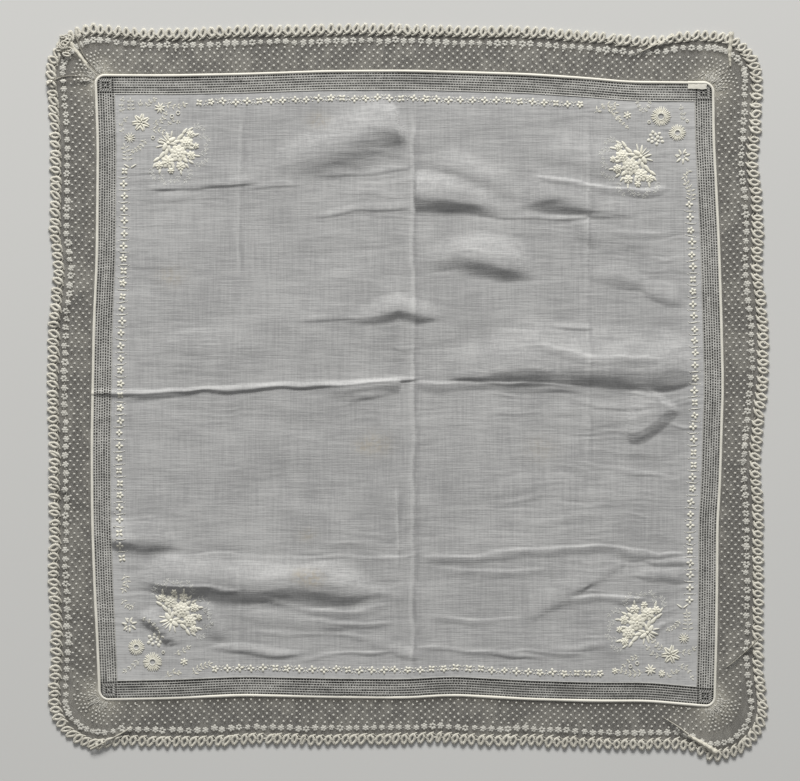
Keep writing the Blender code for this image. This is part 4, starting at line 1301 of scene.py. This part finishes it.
# Sprigs of the four corners: where the stem runs, its leaf pairs, their length and spread, and how cream
# they are.
Sprig = namedtuple("Sprig", "points pairs length spread tone")
SPRIGS = named(
    Sprig,
    (((-149.2, 146.0), (-150.2, 150.0), (-149.4, 154.0)), 3, 1.7, 0.9, 0.4),
    (((-145.0, 147.4), (-145.4, 153.2)), 3, 2.0, 1.3, 0.4),
    (((-140.6, 147.6), (-140.2, 152.0)), 1, 2.2, 0.5, 0.5),
    (((-137.2, 149.0), (-135.6, 152.0), (-132.4, 153.6)), 3, 1.9, 0.8, 0.55),
    (((-133.8, 140.6), (-129.0, 142.4), (-126.8, 146.4)), 4, 2.0, 0.8, 0.6),
    (((-135.0, 138.0), (-130.0, 137.4), (-125.6, 134.4)), 4, 2.2, 0.8, 0.6),
    (((-137.4, 132.8), (-140.4, 128.4), (-144.4, 126.2)), 5, 1.8, 0.9, 0.5),
    (((-146.8, 120.8), (-147.2, 125.0), (-148.4, 129.0)), 4, 2.7, 1.3, 0.55),
    (((-148.6, 135.4), (-150.6, 139.6), (-147.6, 143.6)), 3, 1.6, 0.8, 0.4),
    (((-127.6, 151.6), (-122.0, 149.6), (-116.6, 151.0)), 4, 2.4, 0.9, 0.8),
    (((-126.0, 139.6), (-123.6, 142.4), (-120.0, 141.6)), 3, 1.6, 0.8, 0.45),
    (((98.0, 146.4), (103.2, 150.2), (109.6, 150.6)), 4, 2.4, 0.8, 0.75),
    (((104.4, 149.0), (107.6, 147.4), (110.6, 144.0)), 4, 2.7, 0.7, 0.7),
    (((108.4, 144.6), (112.0, 142.0), (115.4, 138.8)), 4, 1.5, 0.7, 0.7),
    (((123.6, 146.6), (121.8, 149.4), (120.4, 152.2)), 3, 1.6, 0.7, 0.3),
    (((123.6, 146.6), (126.0, 149.2), (127.2, 152.2)), 3, 1.6, 0.7, 0.3),
    (((144.0, 141.4), (144.6, 145.0), (143.6, 149.6)), 3, 2.0, 0.6, 0.3),
    (((146.4, 117.4), (147.4, 114.6), (145.0, 112.6)), 2, 2.2, 1.0, 0.7),
    (((148.6, 100.0), (148.8, 105.2), (146.0, 110.2)), 5, 2.5, 1.2, 0.75),
    (((-148.6, -95.6), (-147.4, -100.2), (-149.2, -104.4)), 4, 2.5, 1.1, 0.7),
    (((-149.8, -108.6), (-147.0, -112.8)), 2, 2.0, 1.0, 0.6),
    (((-143.0, -110.4), (-145.2, -113.4)), 1, 2.2, 0.6, 0.5),
    (((-140.6, -118.6), (-134.6, -120.6), (-131.0, -124.8)), 4, 1.5, 0.8, 0.3),
    (((-140.6, -140.0), (-144.0, -143.6), (-148.6, -146.6)), 4, 2.2, 0.7, 0.3),
    (((-127.4, -150.0), (-123.4, -147.0), (-119.8, -147.4)), 3, 2.2, 0.7, 0.7),
    (((-113.0, -148.0), (-108.6, -144.6), (-103.6, -142.6)), 5, 2.4, 0.9, 0.75),
    (((-122.4, -137.6), (-118.0, -136.0), (-114.6, -133.8)), 3, 1.7, 0.8, 0.6),
    (((147.2, -125.6), (147.0, -120.0), (146.6, -115.6)), 5, 2.6, 1.3, 0.6),
    (((142.8, -119.4), (140.6, -123.0), (136.6, -124.8)), 5, 1.8, 0.9, 0.45),
    (((134.4, -135.6), (130.6, -132.4), (127.6, -128.4)), 4, 2.1, 0.8, 0.55),
    (((133.0, -138.6), (129.0, -137.6), (125.6, -133.6)), 3, 1.9, 0.8, 0.5),
    (((142.6, -136.4), (147.0, -136.8), (150.8, -134.4)), 3, 2.0, 0.8, 0.5),
    (((142.0, -143.6), (146.6, -145.0), (149.6, -150.4)), 4, 1.9, 0.8, 0.45),
    (((135.6, -150.6), (138.4, -147.4), (141.6, -146.6)), 3, 2.0, 0.8, 0.5),
    (((123.6, -147.0), (117.6, -147.6), (111.6, -146.2)), 5, 2.3, 0.9, 0.75),
    (((121.6, -139.0), (117.6, -140.0), (112.8, -144.4)), 4, 1.8, 0.8, 0.6),
)

# Round motifs of the corners: what each is, where, and its radius.
Motif = namedtuple("Motif", "kind x y radius")
MOTIFS = named(
    Motif,
    ("split bloom", -139.8, 141.4, 4.9), ("star", -129.9, 149.0, 3.0), ("rayed star", -145.7, 133.3, 3.0),
    ("ring", -120.4, 146.4, 0.95), ("ring", -123.6, 144.6, 0.9), ("ring", -133.6, 133.4, 0.8),
    ("ring", -130.0, 131.6, 0.8), ("chevron", -145.6, 118.6, 3.8), ("daisy", 133.0, 144.5, 5.4),
    ("daisy", 141.7, 136.0, 4.6), ("bud", 115.4, 145.2, 2.2), ("berries", 130.2, 133.0, 4.3),
    ("tuft", 144.4, 123.6, 4.2), ("ring", 146.8, 142.2, 0.6), ("ring", 126.8, 141.6, 0.7),
    ("daisy", -142.3, -133.9, 4.5), ("daisy", -133.8, -141.8, 5.2), ("bud", -117.3, -141.6, 2.1),
    ("berries", -132.0, -129.8, 4.4), ("tuft", -146.0, -122.0, 4.2), ("ring", -128.2, -136.6, 0.7),
    ("split bloom", 138.2, -137.9, 5.0), ("rayed star", 145.0, -129.3, 3.0), ("star", 127.4, -145.9, 3.1),
    ("star", 133.5, -147.8, 2.0), ("ring", 120.5, -142.4, 0.85), ("ring", 117.0, -144.0, 0.85),
    ("chevron", 144.4, -112.4, 3.4), ("bud", 108.9, -146.4, 1.8),
)
POSIES = ((-121.4, 126.4, -2.356), (118.2, 119.4, 2.356), (-119.8, -115.6, -0.785), (121.6, -122.0, 0.785))


def motif_leaves(motif):
    """The leaves of one round motif."""
    x, y, radius = motif.x, motif.y, motif.radius
    if motif.kind == "split bloom":
        outer = bloom(x, y, radius, 7, 0.5, 1.15, 0.2, 0.42, slit=0.62)
        return outer + bloom(x, y, radius * 0.45, 5, 0.1, 0.9, 0.1, 0.6)
    if motif.kind == "star":
        return bloom(x, y, radius, 8, 0.3, 1.0, 0.0, 0.45)
    if motif.kind == "rayed star":
        return bloom(x, y, radius, 11, 0.1, 0.55, 0.0, 0.4)
    if motif.kind == "daisy":
        return daisy(x, y, radius, radius * 0.3)
    if motif.kind == "bud":
        petals = bloom(x, y, radius, 6, 0.4, 1.1, 0.35, 0.35, tone=0.9)
        return petals + [Leaf(x, y, 0.8, radius, radius * 0.8, 0.5, 1.0)]
    if motif.kind == "berries":
        return berries(x, y, radius, radius * 0.85, 13, 1.0)
    if motif.kind == "tuft":
        return tuft(x, y, radius)
    return [
        Leaf(x + side * radius * 0.48, y, np.pi / 2 - side, radius * 1.1, 0.9, 0.4, 0.9) for side in (-1, 1)
    ]


def eyelets(rows, relief):
    """Small raised rings of thread: each row gives a ring's middle, radius and thread radius."""
    rows = np.array(rows, float)
    angle = np.arange(12) * 2 * np.pi / 12
    x = rows[:, 0:1] + rows[:, 2:3] * np.cos(angle)
    y = rows[:, 1:2] + rows[:, 2:3] * np.sin(angle)
    return tubes(stacked(x, y, relief.lawn(x, y) + 0.12), np.repeat(rows[:, 3:4], 12, 1), 6, closed=True)


def corner_sprays(relief, material):
    """Flowers, berries and leaf sprigs at the four corners, each beside a tied posy."""
    leaves = []
    rings = [(motif.x, motif.y, motif.radius, 0.27) for motif in MOTIFS if motif.kind == "ring"]
    rings += [(motif.x, motif.y, motif.radius * 0.34, 0.42) for motif in MOTIFS if motif.kind == "daisy"]
    for row in SPRIGS:
        leaves += sprig(row.points, row.pairs, row.length, row.spread, row.tone + 0.2)
    for motif in MOTIFS:
        if motif.kind != "ring":
            leaves += motif_leaves(motif)
    for place_of_posy in POSIES:
        leaves += posy(*place_of_posy)
    scatter = [
        leaf._replace(turn=leaf.turn + random.normal(0, 0.06), length=leaf.length * random.normal(1, 0.04))
        for leaf in leaves
    ]
    stitched = mounds(scatter, relief.lawn, blunt=0.25, around=10, rings=3)
    circles = eyelets(rings, relief)
    piece = make_piece("corner_sprays", *joined(stitched, circles), material, "lawn")
    tone = np.array([leaf.tone for leaf in scatter]) * random.uniform(0.8, 1, len(scatter))
    each = len(stitched[0]) // len(scatter)
    set_attribute(piece, "tone", np.concatenate([np.repeat(tone, each), np.full(len(circles[0]), 0.6)]))
    return piece


# Where the chain runs on the upper, right, lower and left side, counted clockwise from each side's middle.
CHAIN_RUNS = ((-108.0, 92.0), (-98.5, 108.0), (-102.0, 101.0), (-89.0, 112.5))


def flower_chain(relief, material):
    """The chain inside the drawn work: small flowers with sprigs between them, or bars at the sides."""
    leaves = []
    for quarter, (first, last) in enumerate(CHAIN_RUNS):
        upright = quarter % 2 == 1
        count = round((last - first) / CHAIN_PITCHES[upright]) + 1
        pitch = (last - first) / (count - 1)
        for number in range(count):
            station = first + number * pitch
            drift = random.normal(0, 0.2, 2)
            x, y = (float(value) for value in on_lawn(quarter, station + drift[0], CHAIN_DEPTH + drift[1]))
            petals = 5 if random.random() < 0.2 else 4
            turn = random.normal(0, 0.12) + (0 if random.random() < 0.75 else np.pi / 4)
            radius = random.normal(CHAIN_FLOWER, 0.1)
            leaves += bloom(x, y, radius, petals, turn, 1.45, 0.12, 0.42, tone=0.9)
            if number == count - 1:
                continue
            x, y = (float(value) for value in on_lawn(quarter, station + pitch / 2, CHAIN_DEPTH + drift[1]))
            if upright:
                leaves.append(Leaf(x, y, random.normal(0, 0.12), 4.8, 0.6, 0.3, 0.7))
                for side in (-1, 1):
                    off = random.normal(0, 0.5)
                    leaves.append(Leaf(x + side * 2.6, y + off, side * 0.6, 1.6, 0.45, 0.2, 0.3))
            else:
                lift = 1 if number % 2 else -1
                for side in (-1, 1):
                    turn = lift * (np.pi / 2 - side * 0.7)
                    leaves.append(Leaf(x + side * 0.8, y + lift * 1.1, turn, 1.8, 0.6, 0.28, 0.6))
                leaves.append(Leaf(x, y - lift * 0.6, 0, 1.0, 0.8, 0.3, 0.7))
    points, faces, uv = mounds(leaves, relief.lawn, blunt=0.1)
    piece = make_piece("flower_chain", points, faces, uv, material, "lawn")
    tone = np.array([leaf.tone for leaf in leaves]) * random.uniform(0.75, 1, len(leaves))
    set_attribute(piece, "tone", np.repeat(tone, len(points) // len(leaves)))
    return piece


def blank_tape(relief, material):
    """The short white tape sewn over the seam: a softly bowed grid, lower along its upper edge."""
    centre_x, centre_y = TAPE_PLACE
    turn = np.radians(-1)
    width, length = (size / MM for size in TAPE_CUT)
    u, v = np.meshgrid(np.linspace(-0.5, 0.5, 41), np.linspace(-0.5, 0.5, 21))
    local_x = u * length + 0.12 * np.sin(v * 9)
    local_y = v * width * (1 + 0.06 * np.sin(u * 9)) + 0.10 * np.sin(u * 14 + 1)
    x = centre_x + local_x * np.cos(turn) - local_y * np.sin(turn)
    y = centre_y + local_x * np.sin(turn) + local_y * np.cos(turn)
    under_roll = np.clip(v * 2, 0, 1) ** 3
    z = relief.lawn(x, y) + 0.45 - 0.2 * under_roll + 0.06 * np.sin(u * 21) * (0.4 + np.abs(v))
    points = stacked(x, y, z).reshape(-1, 3)
    faces, _, _ = grid(*x.shape)
    uv = np.column_stack([local_x.ravel(), local_y.ravel()])
    piece = make_piece("blank_tape", points, [faces], uv, material, "tape")
    solid = piece.modifiers.new("tape thickness", "SOLIDIFY")
    solid.thickness = TAPE_THICKNESS * MM
    solid.offset = -1
    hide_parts("tape_tab")
    return piece


# Where the border is folded over itself: the fold's ridge as places on the cloth, how wide it is, how high
# and how pale.
Pleat = namedtuple("Pleat", "name ridge width rise pale")
PLEATS = named(
    Pleat,
    ("upper left strip", ((-163.2, 165.4), (-168.2, 171.6), (-172.6, 177.4), (-177.4, 184.0)),
        2.6, 0.9, 0.95),
    ("upper left edge", ((-162.0, 167.0), (-166.2, 171.8), (-171.0, 178.6), (-174.6, 187.4)),
        1.0, 1.2, 0.2),
    ("upper left tuck", ((-165.6, 164.6), (-174.0, 165.8), (-182.0, 165.0), (-189.4, 161.0)),
        1.1, 1.2, 0.25),
    ("upper right fold", ((169.4, 171.0), (169.2, 178.0), (170.0, 189.0)), 2.8, 1.5, 0.95),
    ("upper right slant", ((119.0, 176.6), (128.0, 181.2), (139.4, 186.8)), 1.0, 0.7, 0.9),
    ("lower right fold", ((134.4, -171.0), (142.0, -175.6), (149.6, -181.6)), 1.0, 0.8, 0.6),
    ("lower right roll", ((147.0, -180.2), (155.0, -184.6), (162.0, -189.4)), 3.4, 1.5, 1.0),
    ("right fold", ((167.4, -144.4), (176.0, -137.6), (185.0, -128.6)), 1.0, 0.8, 0.35),
    ("lower left fold", ((-144.4, -175.8), (-153.6, -181.0), (-166.4, -187.6)), 1.2, 0.8, 0.6),
)


def border_pleats(relief, material):
    """Tucks of the net folded over themselves: half-round rolls along a ridge, narrow at the seam."""
    parts, pale = [], []
    step = np.arange(PLEAT_STEPS)
    across = np.linspace(-1, 1, 11)
    for pleat in PLEATS:
        ridge = smooth_path(pleat.ridge, PLEAT_STEPS)
        run = np.gradient(ridge, axis=0)
        run /= np.linalg.norm(run, axis=1, keepdims=True)
        width = pleat.width / 2 * np.linspace(0.45, 1.0, PLEAT_STEPS) * (1 + 0.12 * np.sin(step * 0.9))
        width = width[:, None]
        x = ridge[:, :1] - run[:, 1:] * across * width
        y = ridge[:, 1:] + run[:, :1] * across * width
        z = relief.net(x, y, 0.5) + pleat.rise * np.cos(across * np.pi / 2) ** 0.8 * width / width.max()
        faces, row, column = grid(*x.shape)
        uv = np.stack([row * 0.6, column * 0.3], -1)
        parts.append((stacked(x, y, z).reshape(-1, 3), [faces[:, ::-1]], [uv[:, ::-1]]))
        pale.append(np.full(x.size, pleat.pale))
    piece = make_piece("border_pleats", *joined(*parts), material, "net")
    set_attribute(piece, "pale", 1.2 * np.concatenate(pale))
    return piece


def bunched_loops(material):
    """Loops of the edging bunched over the upper left fold: a heap of thread rings turned by chance."""
    middle = np.array([-179.6, 183.0])
    count, steps = 15, 20
    angle = np.arange(steps) * 2 * np.pi / steps
    turn = random.uniform(0, np.pi, (count, 1))
    offset = random.normal(0, 1.0, (count, 2)) * (1.3, 2.1)
    long, short = random.uniform(1.2, 2.4, (count, 1)), random.uniform(0.5, 1.2, (count, 1))
    u, v = long * np.cos(angle), short * np.sin(angle)
    x = middle[0] + offset[:, :1] + u * np.cos(turn) - v * np.sin(turn)
    y = middle[1] + offset[:, 1:] + u * np.sin(turn) + v * np.cos(turn)
    z = 1.0 + 0.08 * np.arange(count)[:, None] + u * random.uniform(-0.25, 0.25, (count, 1))
    radius = BUNCH_RADIUS * (1 + 0.1 * np.cos(np.pi * np.arange(steps))) * np.ones((count, 1))
    rings = tubes(stacked(x, y, z), radius, 6, closed=True)
    return make_piece("bunched_loops", *rings, material, "edging")


# The stage, in metres and degrees: a lamp beyond the cloth's upper side, and a camera straight above.
FLOOR_HALF = 4.0
FLOOR_BELOW = 0.00002
LAMP_SIZE = (2.0, 0.9)
LAMP_PLACE = (-0.15, 2.95, 1.38)
LAMP_TURN = (-65, 0, -3)
LAMP_POWER = 186
LAMP_WHITE = (1.0, 0.99, 0.97)
FILL_STRENGTH = 0.32
LENS = 190
SENSOR_WIDTH = 36
SHOWN_WIDTH = 0.420
SHOWN_MIDDLE = (-0.00394, 0.00079)


def stage_and_light():
    """A plain pale floor, a broad soft light from the top of the cloth, a faint fill, and a camera above."""
    mesh = bpy.data.meshes.new("floor")
    signs = ((-1, -1), (1, -1), (1, 1), (-1, 1))
    mesh.from_pydata([(x * FLOOR_HALF, y * FLOOR_HALF, -FLOOR_BELOW) for x, y in signs], [], [(0, 1, 2, 3)])
    mesh.materials.append(floor_finish())
    floor = bpy.data.objects.new("floor", mesh)
    bpy.context.scene.collection.objects.link(floor)

    key = bpy.data.lights.new("key", "AREA")
    key.shape = "RECTANGLE"
    key.size, key.size_y = LAMP_SIZE
    key.energy = LAMP_POWER
    key.color = LAMP_WHITE
    lamp = bpy.data.objects.new("key", key)
    lamp.location = LAMP_PLACE
    lamp.rotation_euler = np.radians(LAMP_TURN)
    bpy.context.scene.collection.objects.link(lamp)

    world = bpy.data.worlds.new("soft fill")
    world.use_nodes = True
    world.node_tree.nodes["Background"].inputs["Color"].default_value = (1.0, 1.0, 1.0, 1)
    world.node_tree.nodes["Background"].inputs["Strength"].default_value = FILL_STRENGTH
    bpy.context.scene.world = world

    camera = bpy.data.cameras.new("camera")
    camera.lens = LENS
    camera.sensor_width = SENSOR_WIDTH
    camera.clip_start, camera.clip_end = 0.1, 50
    view = bpy.data.objects.new("camera", camera)
    view.location = (*SHOWN_MIDDLE, SHOWN_WIDTH * LENS / SENSOR_WIDTH)
    bpy.context.scene.collection.objects.link(view)
    bpy.context.scene.camera = view
    bpy.context.scene.view_settings.view_transform = "Standard"


def main():
    relief = Relief()
    stage_and_light()
    cream = thread_finish("embroidery_cotton", THREAD_CREAM, THREAD_SHADE, 0.42, faint=THREAD_FAINT)
    loops = thread_finish("loop_cotton", *LOOP_COTTON, 0.7, 0.75)
    roll = thread_finish("whipped_cotton", *ROLL_COTTON, 0.55, 0.65)
    spots = thread_finish("spot_cotton", *SPOT_COTTON, 0.5, 0.8)
    roll_piece = seam_roll(relief, roll)
    lawn = lawn_sheet(relief, lawn_finish())
    # Painted shade under the drawn work, darker in the corner blocks.
    shade = Finish("shade_under_drawn_work", roughness=1.0, sheen=0.0)
    shade.colour(shade.mix(shade.attribute("corner_shade"), SHADE_PAINTED_IN_HOLES, SHADE_PAINTED_IN_CORNERS))
    worked = [drawn_work_rim(relief, drawn_finish()), drawn_work_shade(relief, shade.material)]
    worked += [flower_chain(relief, cream), corner_sprays(relief, cream)]
    net_material = net_finish()
    net = net_sheet(relief, net_material)
    spotted = [net_spots(relief, spots), star_chain(relief, spots), gather_threads(relief, spots)]
    spotted += [border_pleats(relief, net_material)]
    loop_threads(relief, loops)
    heading_thread(relief, loops)
    bunched_loops(loops)
    tape = blank_tape(relief, roll)


main()
